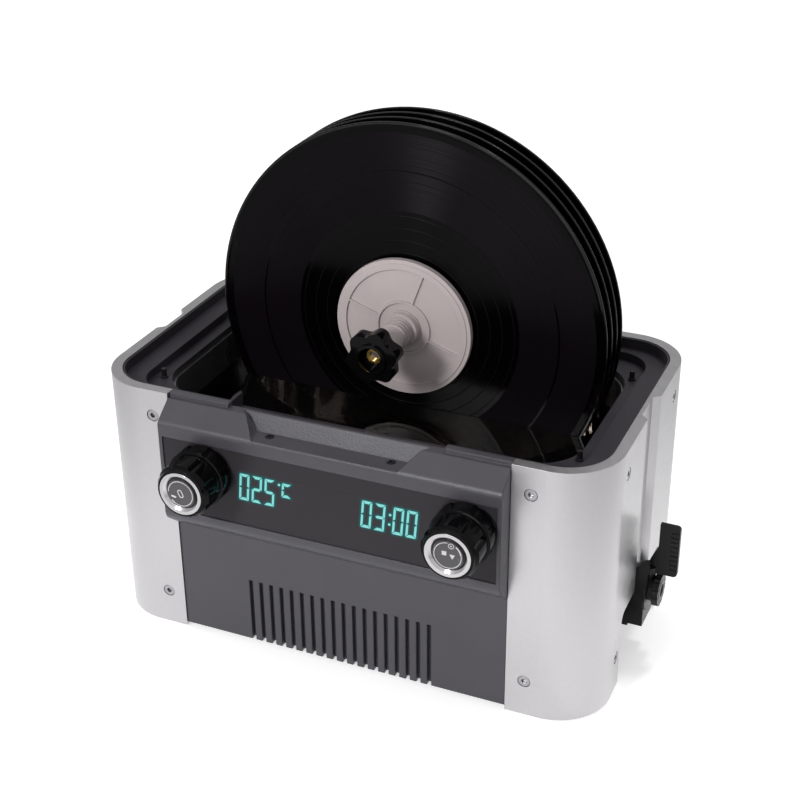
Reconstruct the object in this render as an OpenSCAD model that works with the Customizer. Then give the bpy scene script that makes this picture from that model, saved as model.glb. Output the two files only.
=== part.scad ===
// Record cleaning machine: an ultrasonic bath that turns four records on edge.
// Sizes are millimetres. X runs to the right along the front, Y to the back, Z up.
// Each module is drawn about the middle of the casing. place() then moves it so
// that the origin lies at the bottom centre of the whole machine.

/* [Casing] */
// Width over the two aluminium side wraps
body_w = 382; // [378:1:400]
// Depth over the side wraps, front to back
body_d = 219; // [217:1:232]
// Height of the side wraps
body_h = 197; // [190:1:206]
// Outer radius of the upright corners
corner_r = 40.5; // [36:0.5:46]
// Thickness of the aluminium
wrap_t = 8; // [7:0.25:8.5]
// Gap between the wraps at the front and the back
front_open_w = 254; // [251:1:262]
// Height of the wraps above the surface the feet stand on
wrap_lift = 2; // [1:0.5:4]
// Play between fixed casing pieces
fit_gap = 0.3; // [0.2:0.05:0.5]

/* [Side channel] */
// Width of the upright channel at the outer face of a wrap
channel_mouth = 36; // [32:1:42]
// Width of the channel floor
channel_floor = 27; // [26.6:0.2:30]
// Depth of the channel
channel_depth = 5; // [3:0.25:5.5]
// Height of the cut-out's top above the drain valve's flow axis
notch_rise = 6.5; // [4:0.5:12]
// Width of the cut-out for the drain valve
notch_w = 100; // [90:1:106]
// Radius of the cut-out's upper corners
notch_r = 8; // [4:0.5:12]

/* [Casing screws] */
// Height of the lower casing screws above the bottom edge of a wrap
screw_low = 28; // [24:0.5:34]
// Distance of the upper casing screws below the top edge of a wrap
screw_high = 20; // [18:0.5:24]
// Distance of the front and rear screws from the end of a wrap
screw_inset = 13.5; // [11:0.5:18]
// Distance of the side screws from the middle of the side
screw_y = 59.5; // [58:0.5:64]
// Radius of the screw heads
head_r = 4.2; // [3.8:0.1:5]
// Height of the screw heads
head_h = 2.7; // [2:0.1:3]
// Radius of the screw shanks
shank_r = 2.4; // [2:0.1:2.6]
// Thickness of the corner brackets
bracket_t = 6; // [4.5:0.25:6.25]

/* [Top frame] */
// Depth of the upper ledge below the top of the wraps
ledge_drop = 8.2; // [7:0.1:10]
// Depth of the lower ledge below the upper one
step_drop = 6.5; // [5:0.1:8]
// Thickness of the frame's ledges
frame_t = 3; // [2:0.25:4]
// Width of the upper ledge at the ends
ledge_end = 16.7; // [15:0.1:18]
// Width of the upper ledge at the front and the back
ledge_side = 9.2; // [8.4:0.1:10]
// Corner radius of the stepped opening
step_r = 24; // [20:0.5:30]
// Width of the lower ledge at the ends
lower_end = 9.3; // [8.5:0.1:10]
// Width of the lower ledge at the front and the back
lower_side = 12; // [10:0.25:13]
// Corner radius of the tank opening
open_r = 35; // [32:0.5:40]
// Wall of the rim that lines the aluminium
lining_t = 1.5; // [1.2:0.1:2]
// Half width of the hand notch at the front of the frame
hand_half = 80; // [76:1:90]

/* [Tank] */
// Depth of the tank inside
tank_depth = 115; // [112:0.5:122]
// Sheet thickness of the tank
sheet_t = 1.2; // [0.8:0.1:2]
// Width of steel that shows inside the frame opening
steel_edge = 2; // [1:0.25:3]
// Width of the tank's flange
flange_w = 9.5; // [9:0.1:9.8]
// Thickness of the gasket under the frame
gasket_t = 2; // [1:0.25:3]
// Distance of the drain from the middle of the tank
drain_x = 136; // [134:0.5:140]
// Bore radius of the drain pipe
drain_r = 7.5; // [7:0.1:8]

/* [Control head] */
// How far the control head stands out in front of the wraps
head_out = 15.7; // [14:0.1:20]
// Height of the head, from its bottom edge to the top of the wraps
console_h = 104.7; // [102:0.1:107]
// Depth of the head's lip below the top of the wraps
lip_drop = 3.4; // [2.5:0.1:4]
// Width of the lip along the tank
lip_w = 5.2; // [4:0.1:6]
// Drop of the sloping top from the lip to the front edge
slope_drop = 8.7; // [7:0.1:10]
// Radius of the upper front edge
brow_r = 6; // [5:0.25:7]
// Radius of the lower front edge
chin_r = 10; // [8:0.25:12]
// Thickness of the head's front wall
head_wall = 6; // [5.5:0.1:7]
// Width of the border beside the window
window_side = 3.1; // [2.5:0.1:5]
// Distance of the window's top below the top of the wraps
window_top = 25; // [24:0.1:27]
// Height of the window
window_h = 58.4; // [54:0.1:60]
// Thickness of the window
window_t = 2.6; // [2:0.1:3]
// Depth of the window's face behind the head's face
window_sink = 0.8; // [0.5:0.1:1.2]

/* [Hand scoop] */
// Depth of the scoop's floor below the top of the wraps
scoop_drop = 14.6; // [13:0.1:15]
// Half width of the scoop at the tank
scoop_back = 69; // [64:0.5:74]
// Half width of the scoop at the front edge
scoop_front = 55; // [50:0.5:60]
// Distance between the two screws in the scoop
scoop_screw_pitch = 90; // [80:1:94]

/* [Lower front panel] */
// Depth of the panel's face behind the face of the wraps
panel_sink = 1; // [0.5:0.25:2]
// Thickness of the panel
panel_t = 3; // [2.5:0.25:4]
// Height of the panel's lower edge above the bottom of the wraps
panel_bottom = 2.7; // [2.5:0.1:4]
// Number of vent slots
vent_count = 18; // [14:2:20]
// Distance between vent slots
vent_pitch = 8.23; // [7.5:0.01:9]
// Width of a vent slot
vent_w = 3.2; // [2.5:0.1:4.5]
// Depth of the vent slots, which have a wall behind them
vent_depth = 4.2; // [3.5:0.1:5]
// Height of the vent slots' upper ends above the bottom of the wraps
vent_top = 55; // [50:0.5:64]

/* [Digits] */
// Height of the digits
digit_h = 21; // [18:0.5:22]
// Width of a digit
digit_w = 7.5; // [7:0.25:8.5]
// Thickness of the level segments
bar_t = 2; // [1.4:0.1:2.2]
// Thickness of the upright segments
post_t = 1.5; // [1.1:0.1:1.8]
// Distance between digits
digit_pitch = 9.7; // [9.5:0.1:10.5]
// Lean of the digits, in degrees
digit_lean = 5; // [0:1:8]
// Left edge of the temperature reading
reading_x = -64.7; // [-67:0.1:-64]
// Left edge of the time reading
clock_x = 27.5; // [25:0.5:30]
// Middle of the digits below the top of the wraps
digit_drop = 52; // [49:0.5:56]

/* [Knobs] */
// Distance of the left knob from the middle
left_knob_x = -91; // [-94:0.5:-90]
// Distance of the right knob from the middle
right_knob_x = 103; // [95:0.5:103]
// Depth of the knobs' axes below the top of the wraps
knob_drop = 45.5; // [44:0.5:48]
// Length of a knob in front of the head
knob_out = 33.8; // [28:0.2:38]
// Radius of a knob's rear skirt
skirt_r = 21.4; // [19:0.1:22]
// Length of the rear skirt
skirt_l = 13; // [10:0.5:15]
// Radius of a knob's grip
grip_r = 20; // [18:0.1:20.5]
// Number of flutes round a knob
flute_count = 8; // [6:1:10]
// Radius of a flute
flute_r = 4.5; // [3:0.1:6]
// Depth of a flute
flute_depth = 1.2; // [0.6:0.1:1.6]
// Radius of the silver ring
ring_r = 15.9; // [15.2:0.1:16.4]
// Radius of the disc inside the ring
face_r = 10.5; // [9.8:0.1:10.8]
// Radius of the ring's bore, behind its dished front
ring_bore = 11.2; // [11:0.1:11.8]
// Radius of the ring's dish at the front
dish_r = 13.5; // [13:0.1:14]
// Radius of a knob's shaft
shaft_r = 2.95; // [2.5:0.05:3.2]
// Travel of a knob when it is pressed
press_travel = 0.6; // [0.4:0.1:0.8]

/* [Record stack] */
// Diameter of a record
record_d = 301.6; // [298:0.2:302]
// Thickness of a record
record_t = 2; // [1.6:0.1:2.4]
// Radius of the flat land under a record's label
land_r = 50.5; // [50.2:0.1:51]
// Depth of the grooved area below the land and the edge bead
groove_sink = 0.25; // [0.1:0.05:0.35]
// Width of the raised bead at a record's edge
bead_w = 3.4; // [2.5:0.1:5]
// Distance from one record to the next
record_pitch = 12.1; // [11.5:0.1:12.4]
// Gap between the rear label cover and the drive housing
drive_gap = 7.3; // [6:0.1:8]
// Height of the spindle above the top of the wraps
spindle_up = 21; // [20:0.5:26]
// Radius of the spindle rod, which fits a record's centre hole
rod_r = 3.5; // [3.3:0.05:3.55]
// Radius of a record's centre hole
hole_r = 3.62; // [3.6:0.01:3.7]
// Radius of the label covers
cover_r = 52.5; // [50:0.5:55]
// Thickness of a label cover
cover_t = 5; // [4:0.25:6]
// Thickness of the seal between a cover and a record
seal_t = 2.9; // [2:0.1:3.5]
// Radius of the spacers between the records
spacer_r = 50; // [46:0.5:52]
// Length of the clamp sleeve in front of the cover
sleeve_l = 41.3; // [36:0.1:44]
// Radius of the clamp sleeve's collar
sleeve_r = 11.5; // [10:0.25:13]
// Radius of the star knob over its lobes
star_r = 20; // [17:0.5:22]
// Thickness of the star knob
star_t = 16; // [13:0.5:18]
// Number of lobes of the star knob
star_lobes = 6; // [5:1:8]
// Radius of the hollow in the star knob's face
hollow_r = 9; // [7:0.25:9.5]
// Depth of that hollow
hollow_d = 9; // [6:0.5:11]

/* [Spindle drive] */
// Width of the drive housing
drive_w = 66; // [62:1:76]
// Height of the drive housing above the spindle
drive_up = 54; // [53:0.5:60]
// Distance of the housing's rear face in front of the back of the wraps
drive_inset = 4.5; // [4:0.25:6]
// Depth of the drive housing with its cover
drive_d = 33; // [32:0.25:34]
// Wall of the drive housing
drive_wall = 2.5; // [2:0.25:3]
// Teeth of the spindle gear
gear_teeth = 48; // [45:3:51]
// Teeth of the motor pinion
pinion_teeth = 16; // [15:1:17]
// Module of the two gears
gear_module = 1; // [0.95:0.01:1.02]
// Width of the gears
gear_w = 6; // [4:0.5:7]

/* [Drain valve] */
// Depth of the valve's flow axis below the tank
valve_drop = 10.1; // [9.6:0.1:12]
// Distance of the lever's stem outside the face of the right wrap
stem_out = 5.5; // [5:0.1:6.5]
// Reach of the lever's outer edge from the face of the right wrap
lever_reach = 25.8; // [25:0.1:28]
// Height of the lever's grip
lever_h = 41.5; // [38:0.5:46]
// Thickness of the lever
lever_t = 3.8; // [3:0.1:4.4]
// Radius of the outlet nut
nut_r = 12; // [11.5:0.1:13]
// Width of the outlet nut
nut_w = 4.7; // [4.5:0.1:7]
// Radius of the nozzle
nozzle_r = 7.5; // [6.8:0.1:8]
// Radius of the nozzle's bore, which takes a hose tail
nozzle_bore = 5; // [4.8:0.1:6]

/* [Base] */
// Height of the rubber feet
foot_h = 3; // [2.5:0.25:5]
// Radius of the rubber feet
foot_r = 11; // [9:0.5:14]
// Distance of the feet from the middle, sideways
foot_x = 150; // [145:1:156]
// Distance of the feet from the middle, front to back
foot_y = 76; // [70:1:80]
// Thickness of the base plate
base_t = 2; // [1.5:0.25:2.5]

/* [Fan and power] */
// Side of the square fan
fan_side = 50; // [46:1:54]
// Depth of the fan
fan_d = 15; // [12:0.5:16]
// Distance of the fan from the middle
fan_x = 62; // [56:1:70]
// Distance of the mains socket from the middle
socket_x = -92; // [-96:1:-88]
// Distance of the power switch from the middle
switch_x = -52; // [-56:1:-46]
// Number of ultrasonic transducers
transducer_count = 4; // [3:1:4]
// Distance between transducers
transducer_pitch = 58; // [52:1:59]
// Room between the transducers and the base plate
transducer_clear = 9.1; // [6:0.1:14]

/* [Hidden] */
$fn = 64;

// Small play of a turning or sliding fit, and a thin overlap for clean cuts
run_gap = 0.05;
cut = 1;

// Faces and levels of the casing
side_x = body_w / 2;
front_y = -body_d / 2;
back_y = body_d / 2;
wrap_z = wrap_lift;
top_z = wrap_lift + body_h;
inner_w = body_w - 2 * wrap_t;
inner_d = body_d - 2 * wrap_t;
inner_r = corner_r - wrap_t;
open_half = front_open_w / 2;

// Top frame, from the outside in and from the top down
frame_w = inner_w - 2 * fit_gap;
frame_d = inner_d - 2 * fit_gap;
frame_r = inner_r - fit_gap;
step_w = frame_w - 2 * ledge_end;
step_d = frame_d - 2 * ledge_side;
open_w = step_w - 2 * lower_end;
open_d = step_d - 2 * lower_side;
step_wall = 2;
rim_drop = 0.5;
return_t = 2.5;
ledge_z = top_z - ledge_drop;
lower_z = ledge_z - step_drop;
frame_under = lower_z - frame_t;
frame_screw_x = open_w / 2 + 1.6;
frame_screw_y = open_d / 2 - 17;

// Tank
tank_w = open_w - 2 * steel_edge;
tank_d = open_d - 2 * steel_edge;
tank_r = open_r - steel_edge;
flange_z = frame_under - gasket_t;
floor_z = flange_z - tank_depth;
tank_under = floor_z - sheet_t;
pipe_wall = 1.6;
heater_w = 210;
heater_h = 60;
heater_t = 1.6;

// Control head
face_y = front_y - head_out;
head_w = front_open_w - 2 * fit_gap;
chin_z = top_z - console_h;
brow_z = top_z - lip_drop;
window_w = front_open_w - 2 * window_side;
window_hi = top_z - window_top;
window_lo = window_hi - window_h;
window_y = face_y + window_sink;
brow_inset = 3.7;
slope_a = 90 + atan2(slope_drop, head_out - brow_inset);
chin_a = 229.5;
brow_c = [face_y + brow_r, brow_z - (brow_r - (front_y - face_y - brow_r) * cos(slope_a)) / sin(slope_a)];
chin_c = [face_y + chin_r, chin_z - (chin_r + (face_y - front_y + chin_r) * cos(chin_a)) / sin(chin_a)];
scoop_z = top_z - scoop_drop;
scoop_fold = 5.5;
window_lip = 4;
board_y = window_y + window_t + 6.3;
board_t = 1.6;
board_edge = 6;
post_r = 3;
post_x = window_w / 2 - window_lip - post_r - fit_gap;
digit_z = top_z - digit_drop;

// Base
base_z = foot_h;
base_top = base_z + base_t;

// Knobs
press_gap = 0.4;
knob_back = face_y - press_travel - press_gap;
knob_front = face_y - knob_out;
ring_t = 3.2;
dish_t = 1.9;
nose_in = 1.7;
nose_out = 2.3;
bush_r = shaft_r + run_gap + 1.2;
axis_z = top_z - knob_drop;

// Record stack along Y, from the drive forward to the star knob
drive_back = back_y - drive_inset;
drive_y = drive_back - drive_d;
spindle_z = top_z + spindle_up;
record_r = record_d / 2;
shoulder_y = drive_y - drive_gap;
rear_cover_y = shoulder_y - cover_t;
stack_end = rear_cover_y - seal_t;
stack_y = stack_end - 3 * record_pitch - record_t;
front_cover_y = stack_y - seal_t - cover_t;
sleeve_y = front_cover_y - sleeve_l;
star_y = sleeve_y - fit_gap - star_t;
insert_r = 5.5;
rod_front = star_y + hollow_d + 0.5;

// Spindle drive
shaft_big_r = 5;
gear_r = gear_module * gear_teeth / 2;
pinion_r = gear_module * pinion_teeth / 2;
gear_gap = 0.25;
motor_z = spindle_z + gear_r + pinion_r + gear_gap;
gear_y = drive_back - drive_wall - 1.6 - gear_w;
motor_r = 12;
motor_y = drive_y + drive_wall + 0.4;
motor_l = gear_y - motor_y - 1.5;
drive_low = ledge_z;
housing_screw_x = drive_w / 2 - 7;

// Drain valve
axis_valve_z = tank_under - valve_drop;
notch_h = axis_valve_z + notch_rise - wrap_z;
stem_x = side_x + stem_out;
lever_x = side_x + lever_reach;
pipe_end = side_x - 31;
block_half = channel_floor / 2 - 0.5;
block_out = side_x + 6;
barrel_r = 9.2;
ball_r = 7;
flow_r = 4.6;
stem_r = 2.5;
bonnet_r = 4.8;
nut_gap = 2.4;
lever_low = axis_valve_z + nut_r + nut_gap;
bonnet_z = lever_low - fit_gap;
nut_x = stem_x + bonnet_r + 0.4;
barrel_end = nut_x + 2.6;
nozzle_end = nut_x + nut_w + 0.3;
collar_t = 1;
seat_x = stem_x + ball_r - 1.6;
seat_r = 7.2;
bore_x = stem_x + ball_r + 0.2;
tail_bore = nozzle_bore + 0.5;
flange_r = 16.6;
flange_l = 1.2;

// Rear panel, fan and power inlet
rear_y = back_y - 4;
fan_z = base_top + fan_side / 2 + 1;
fan_bore = fan_side / 2 - 3;
fan_y = rear_y - panel_t - fan_d;
power_z = base_top + 26;
rear_vent_h = 40;
rear_vent_drop = 77;
socket_w = 27;
socket_h = 19.6;
switch_w = 15;
switch_h = 21;

// Transducers and electronics
transducer_x0 = -(transducer_count - 1) * transducer_pitch / 2 - 14;
transducer_h = tank_under - base_top - transducer_clear;
front_mass_h = transducer_h * 0.41;
piezo_h = transducer_h * 0.1;
back_mass_h = transducer_h * 0.31;
bolt_h = transducer_h * 0.08;
board_w = 36;
board_l = 140;
gen_x = -side_x + wrap_t + 7 + board_w / 2;
gen_z = base_top + 6;

// Moves a piece from the middle of the casing to the part's own origin
shift_x = -lever_reach / 2;
shift_y = -(back_y + knob_front) / 2;

module place() {
    translate([shift_x, shift_y, 0]) children();
}

// Points along an arc from angle a0 to a1
function arc(c, r, a0, a1, n) = [for (i = [0:n]) c + r * [cos(a0 + (a1 - a0) * i / n), sin(a0 + (a1 - a0) * i / n)]];

// Rectangle with round corners, centred
module round_rect(w, d, r) {
    square([w - 2 * r, d], center = true);
    square([w, d - 2 * r], center = true);
    for (x = [-1, 1], y = [-1, 1]) {
        translate([x * (w / 2 - r), y * (d / 2 - r)]) circle(r);
    }
}

// Upright slab of a round rectangle between two levels
module slab(w, d, r, z0, z1) {
    translate([0, 0, z0]) linear_extrude(z1 - z0) round_rect(w, d, r);
}

// Box from its lowest to its highest corner
module block(a, b) {
    translate(a) cube([b[0] - a[0], b[1] - a[1], b[2] - a[2]]);
}

// Cylinder along Y between two faces, at x and z
module rod_y(x, z, r, y0, y1) {
    translate([x, y0, z]) rotate([-90, 0, 0]) cylinder(h = y1 - y0, r = r);
}

// Cylinder along X between two faces, at y and z
module rod_x(y, z, r, x0, x1) {
    translate([x0, y, z]) rotate([0, 90, 0]) cylinder(h = x1 - x0, r = r);
}

// Upright cylinder between two levels
module rod_z(x, y, r, z0, z1) {
    translate([x, y, z0]) cylinder(h = z1 - z0, r = r);
}

// Outline in Y and Z, drawn along X between two ends
module along_x(x0, x1) {
    translate([x0, 0, 0]) rotate([90, 0, 90]) linear_extrude(x1 - x0) children();
}

// Outline in X and Z, drawn along Y between two faces
module along_y(y0, y1) {
    translate([0, y1, 0]) rotate([90, 0, 0]) linear_extrude(y1 - y0) children();
}

// Casing screws

module at_wrap_screws() {
    for (z = [wrap_z + screw_low, top_z - screw_high], s = [-1, 1]) {
        for (f = [-1, 1]) {
            translate([s * (open_half + screw_inset), f * body_d / 2, z]) rotate([-90 * f, 0, 0]) children();
            translate([s * side_x, f * screw_y, z]) rotate([0, 90 * s, 0]) children();
        }
    }
}

module socket_screw(r, h, shank, length) {
    difference() {
        translate([0, 0, -h]) cylinder(h = h, r = r);
        translate([0, 0, -h * 0.6]) cylinder(h = h, r = r * 0.5, $fn = 6);
    }
    translate([0, 0, -h - length]) cylinder(h = length + 0.01, r = shank);
}

module wrap_screws() {
    color("silver") place() at_wrap_screws() translate([0, 0, -fit_gap]) {
        socket_screw(head_r, head_h, shank_r, wrap_t - head_h - fit_gap + bracket_t - 1);
    }
}

// Side wraps

module wrap_plan(s) {
    difference() {
        round_rect(body_w, body_d, corner_r);
        round_rect(inner_w, inner_d, inner_r);
        square([front_open_w, body_d + cut], center = true);
        translate([-s * body_w / 2, 0]) square([body_w, body_d + cut], center = true);
        translate([s * side_x, 0]) polygon([
            [s, -channel_mouth / 2 - (channel_mouth - channel_floor) / 2 / channel_depth],
            [-s * channel_depth, -channel_floor / 2],
            [-s * channel_depth, channel_floor / 2],
            [s, channel_mouth / 2 + (channel_mouth - channel_floor) / 2 / channel_depth]
        ]);
    }
}

module side_wrap(s) {
    difference() {
        translate([0, 0, wrap_z]) linear_extrude(body_h) wrap_plan(s);
        at_wrap_screws() translate([0, 0, -head_h - fit_gap]) cylinder(h = head_h + cut, r = head_r + 0.4);
        at_wrap_screws() translate([0, 0, -wrap_t - cut]) cylinder(h = wrap_t + 2 * cut, r = shank_r + 0.1);
    }
}

module notch_plan() {
    translate([-notch_w / 2, -cut]) square([notch_w, notch_h - notch_r + cut]);
    translate([notch_r - notch_w / 2, -cut]) square([notch_w - 2 * notch_r, notch_h + cut]);
    for (s = [-1, 1]) translate([s * (notch_w / 2 - notch_r), notch_h - notch_r]) circle(notch_r);
}

module left_side_wrap() {
    color("lightgray") place() side_wrap(-1);
}

module right_side_wrap() {
    color("lightgray") place() difference() {
        side_wrap(1);
        translate([0, 0, wrap_z]) along_x(side_x - wrap_t - cut, side_x + cut) notch_plan();
    }
}

module corner_brackets() {
    top = ledge_z - frame_t - fit_gap;
    color("dimgray") place() difference() {
        translate([0, 0, base_top]) linear_extrude(top - base_top) intersection() {
            difference() {
                round_rect(frame_w, frame_d, frame_r);
                round_rect(frame_w - 2 * bracket_t, frame_d - 2 * bracket_t, frame_r - bracket_t);
            }
            for (x = [-1, 1], y = [-1, 1]) {
                translate([x * (open_half + 2 + side_x) / 2, y * (notch_w / 2 + 1 + back_y) / 2])
                    square([side_x - open_half - 2, back_y - notch_w / 2 - 1], center = true);
            }
        }
        at_wrap_screws() translate([0, 0, -wrap_t - bracket_t - 2]) cylinder(h = wrap_t + bracket_t, r = shank_r);
    }
}

// Top frame and what it clamps

module frame_screw_places() {
    for (x = [-1, 1], y = [-1, 1]) translate([x * frame_screw_x, y * frame_screw_y]) children();
}

module housing_screw_places() {
    for (x = [-1, 1]) translate([x * housing_screw_x, frame_d / 2 - ledge_side / 2 - lining_t / 2]) children();
}

module scoop_screw_places() {
    for (x = [-1, 1]) translate([x * scoop_screw_pitch / 2, front_y - 4]) children();
}

module top_frame() {
    rim_z = top_z - rim_drop;
    color("#5a5a5e") place() difference() {
        union() {
            difference() {
                slab(frame_w, frame_d, frame_r, frame_under, rim_z);
                slab(frame_w - 2 * lining_t, frame_d - 2 * lining_t, frame_r - lining_t, ledge_z, rim_z + cut);
                slab(step_w, step_d, step_r, lower_z, rim_z + cut);
                slab(open_w, open_d, open_r, frame_under - cut, rim_z + cut);
                difference() {
                    slab(frame_w + cut, frame_d + cut, frame_r, frame_under - cut, ledge_z - frame_t);
                    slab(step_w + 2 * step_wall, step_d + 2 * step_wall, step_r + step_wall,
                        frame_under - 2 * cut, rim_z + cut);
                }
            }
            block([-hand_half - return_t, -frame_d / 2, ledge_z - frame_t / 2], [-hand_half, -step_d / 2 + 0.01, rim_z]);
            block([-hand_half - return_t, -step_d / 2, lower_z - frame_t / 2], [-hand_half, -step_d / 2 + 6, rim_z]);
        }
        block([-hand_half, -frame_d / 2 - cut, ledge_z], [hand_half, -frame_d / 2 + 3, rim_z + cut]);
        block([-drive_w / 2 - fit_gap, frame_d / 2 - lining_t - cut, ledge_z],
            [drive_w / 2 + fit_gap, frame_d / 2 + cut, rim_z + cut]);
        frame_screw_places() rod_z(0, 0, 1.7, frame_under - cut, lower_z + cut);
        housing_screw_places() rod_z(0, 0, 1.7, ledge_z - frame_t - cut, ledge_z + cut);
    }
}

module flange_plan(inside) {
    difference() {
        round_rect(open_w + 2 * (flange_w - steel_edge), open_d + 2 * (flange_w - steel_edge), open_r + 4);
        round_rect(open_w - inside, open_d - inside, open_r - inside / 2);
        frame_screw_places() circle(1.7);
    }
}

module tank_gasket() {
    color("#222222") place() translate([0, 0, flange_z]) linear_extrude(gasket_t) flange_plan(0);
}

module tank() {
    color("gainsboro") place() difference() {
        union() {
            translate([0, 0, flange_z - sheet_t]) linear_extrude(sheet_t) flange_plan(2 * steel_edge);
            difference() {
                slab(tank_w + 2 * sheet_t, tank_d + 2 * sheet_t, tank_r + sheet_t, tank_under, flange_z);
                slab(tank_w, tank_d, tank_r, floor_z, flange_z + cut);
            }
        }
        rod_z(drain_x, 0, drain_r, tank_under - cut, floor_z + cut);
    }
}

// Threaded pegs hold the frame's corners and take the lid, and screws hold the scoop
module top_screws() {
    peg_r = 1.9;
    peg_h = 7;
    color("silver") place() {
        frame_screw_places() {
            rod_z(0, 0, peg_r + 1, lower_z, lower_z + 1.2);
            rod_z(0, 0, peg_r, lower_z, lower_z + peg_h);
            rod_z(0, 0, 1.6, lower_z - frame_t - gasket_t - sheet_t - 3, lower_z + 0.01);
        }
        scoop_screw_places() translate([0, 0, scoop_z + 0.4]) socket_screw(2.8, 1.6, 1.5, 2);
    }
}

module heater_pad() {
    outer = -tank_d / 2 - sheet_t;
    low = floor_z + 10;
    color("#b5432c") place() {
        block([-heater_w / 2, outer - heater_t, low], [heater_w / 2, outer, low + heater_h]);
    }
}

// Control head

module head_outline() {
    polygon(concat(
        [[front_y + wrap_t, chin_z], [front_y, chin_z]],
        arc(chin_c, chin_r, chin_a, 180, 8),
        arc(brow_c, brow_r, 180, slope_a, 8),
        [[front_y, brow_z], [front_y + wrap_t - lip_w, brow_z]],
        [[front_y + wrap_t - lip_w, top_z], [front_y + wrap_t, top_z]]
    ));
}

module head_cavity() {
    polygon([
        [front_y + wrap_t + cut, chin_z + 4],
        [front_y, chin_z + 4],
        [face_y + head_wall, chin_z + 17],
        [face_y + head_wall, scoop_z - 4.5],
        [face_y + head_wall + 2, scoop_z - 3],
        [front_y + wrap_t + cut, scoop_z - 3]
    ]);
}

module scoop_cut() {
    rear = front_y + scoop_fold;
    deep = front_y - head_out - cut;
    taper = (scoop_back - scoop_front) / (scoop_fold + 13);
    intersection() {
        along_x(-scoop_back - cut, scoop_back + cut) polygon([
            [deep, scoop_z], [front_y, scoop_z], [rear, brow_z], [rear, top_z + cut], [deep, top_z + cut]
        ]);
        along_y(deep - cut, rear + cut) polygon([
            [-scoop_front - 1, scoop_z - cut], [scoop_front + 1, scoop_z - cut],
            [scoop_back, brow_z], [scoop_back, top_z + cut],
            [-scoop_back, top_z + cut], [-scoop_back, brow_z]
        ]);
        translate([0, 0, scoop_z - cut]) linear_extrude(lip_drop + scoop_drop + 2 * cut) polygon([
            [-scoop_back, rear], [scoop_back, rear],
            [scoop_back - taper * (rear - deep), deep], [-scoop_back + taper * (rear - deep), deep]
        ]);
    }
}

module window_box(grow, y0, y1) {
    block([-window_w / 2 - grow, y0, window_lo - grow], [window_w / 2 + grow, y1, window_hi + grow]);
}

module control_head() {
    color("#5a5a5e") place() difference() {
        along_x(-head_w / 2, head_w / 2) head_outline();
        along_x(-head_w / 2 + 3, head_w / 2 - 3) head_cavity();
        block([-hand_half, front_y - cut, brow_z], [hand_half, front_y + wrap_t + cut, top_z + cut]);
        scoop_cut();
        window_box(0, face_y - cut, window_y + window_t);
        window_box(-window_lip, face_y - cut, face_y + head_wall + cut);
        scoop_screw_places() {
            rod_z(0, 0, 1.6, scoop_z - 3 - cut, scoop_z + cut);
            rod_z(0, 0, 3, scoop_z - 1.2, scoop_z + cut);
        }
    }
}

module display_window() {
    color("#3a3a3e") place() difference() {
        window_box(-fit_gap, window_y, window_y + window_t);
        for (x = [left_knob_x, right_knob_x]) {
            rod_y(x, axis_z, bush_r + 0.3, window_y - cut, window_y + window_t + cut);
        }
    }
}

// Seven-segment figures: top, upper right, lower right, bottom, lower left, upper left, middle

mitre = 0.3;
dot_r = 0.9;
figures = [
    [1, 1, 1, 1, 1, 1, 0], [0, 1, 1, 0, 0, 0, 0], [1, 1, 0, 1, 1, 0, 1], [1, 1, 1, 1, 0, 0, 1],
    [0, 1, 1, 0, 0, 1, 1], [1, 0, 1, 1, 0, 1, 1], [1, 0, 1, 1, 1, 1, 1], [1, 1, 1, 0, 0, 0, 0],
    [1, 1, 1, 1, 1, 1, 1], [1, 1, 1, 1, 0, 1, 1]
];
letter_c = [1, 0, 0, 1, 1, 1, 0];

// Moves a point sideways by the lean of the digits
function lean(p, h) = [p[0] + (p[1] - h / 2) * tan(digit_lean), p[1]];

module slanted(points, h) {
    polygon([for (p = points) lean(p, h)]);
}

module bar(w, h, z, s) {
    slanted([
        [mitre, z], [w - mitre, z], [w - mitre - bar_t, z - s * bar_t], [mitre + bar_t, z - s * bar_t]
    ], h);
}

module middle_bar(w, h) {
    slanted([
        [mitre + 0.5, h / 2], [mitre + bar_t / 2 + 0.5, h / 2 + bar_t / 2],
        [w - mitre - bar_t / 2 - 0.5, h / 2 + bar_t / 2], [w - mitre - 0.5, h / 2],
        [w - mitre - bar_t / 2 - 0.5, h / 2 - bar_t / 2], [mitre + bar_t / 2 + 0.5, h / 2 - bar_t / 2]
    ], h);
}

module upright(w, h, side, top) {
    s = top ? 1 : -1;
    e = top ? h : 0;
    x = side * w;
    d = side ? -post_t : post_t;
    slanted([
        [x, h / 2 + s * mitre], [x, e - s * mitre * 1.5],
        [x + d, e - s * (mitre * 1.5 + post_t)], [x + d, h / 2 + s * (mitre + post_t / 2)]
    ], h);
}

module seven(lit, w, h) {
    if (lit[0]) bar(w, h, h, 1);
    if (lit[1]) upright(w, h, 1, true);
    if (lit[2]) upright(w, h, 1, false);
    if (lit[3]) bar(w, h, 0, -1);
    if (lit[4]) upright(w, h, 0, false);
    if (lit[5]) upright(w, h, 0, true);
    if (lit[6]) middle_bar(w, h);
}

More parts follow.
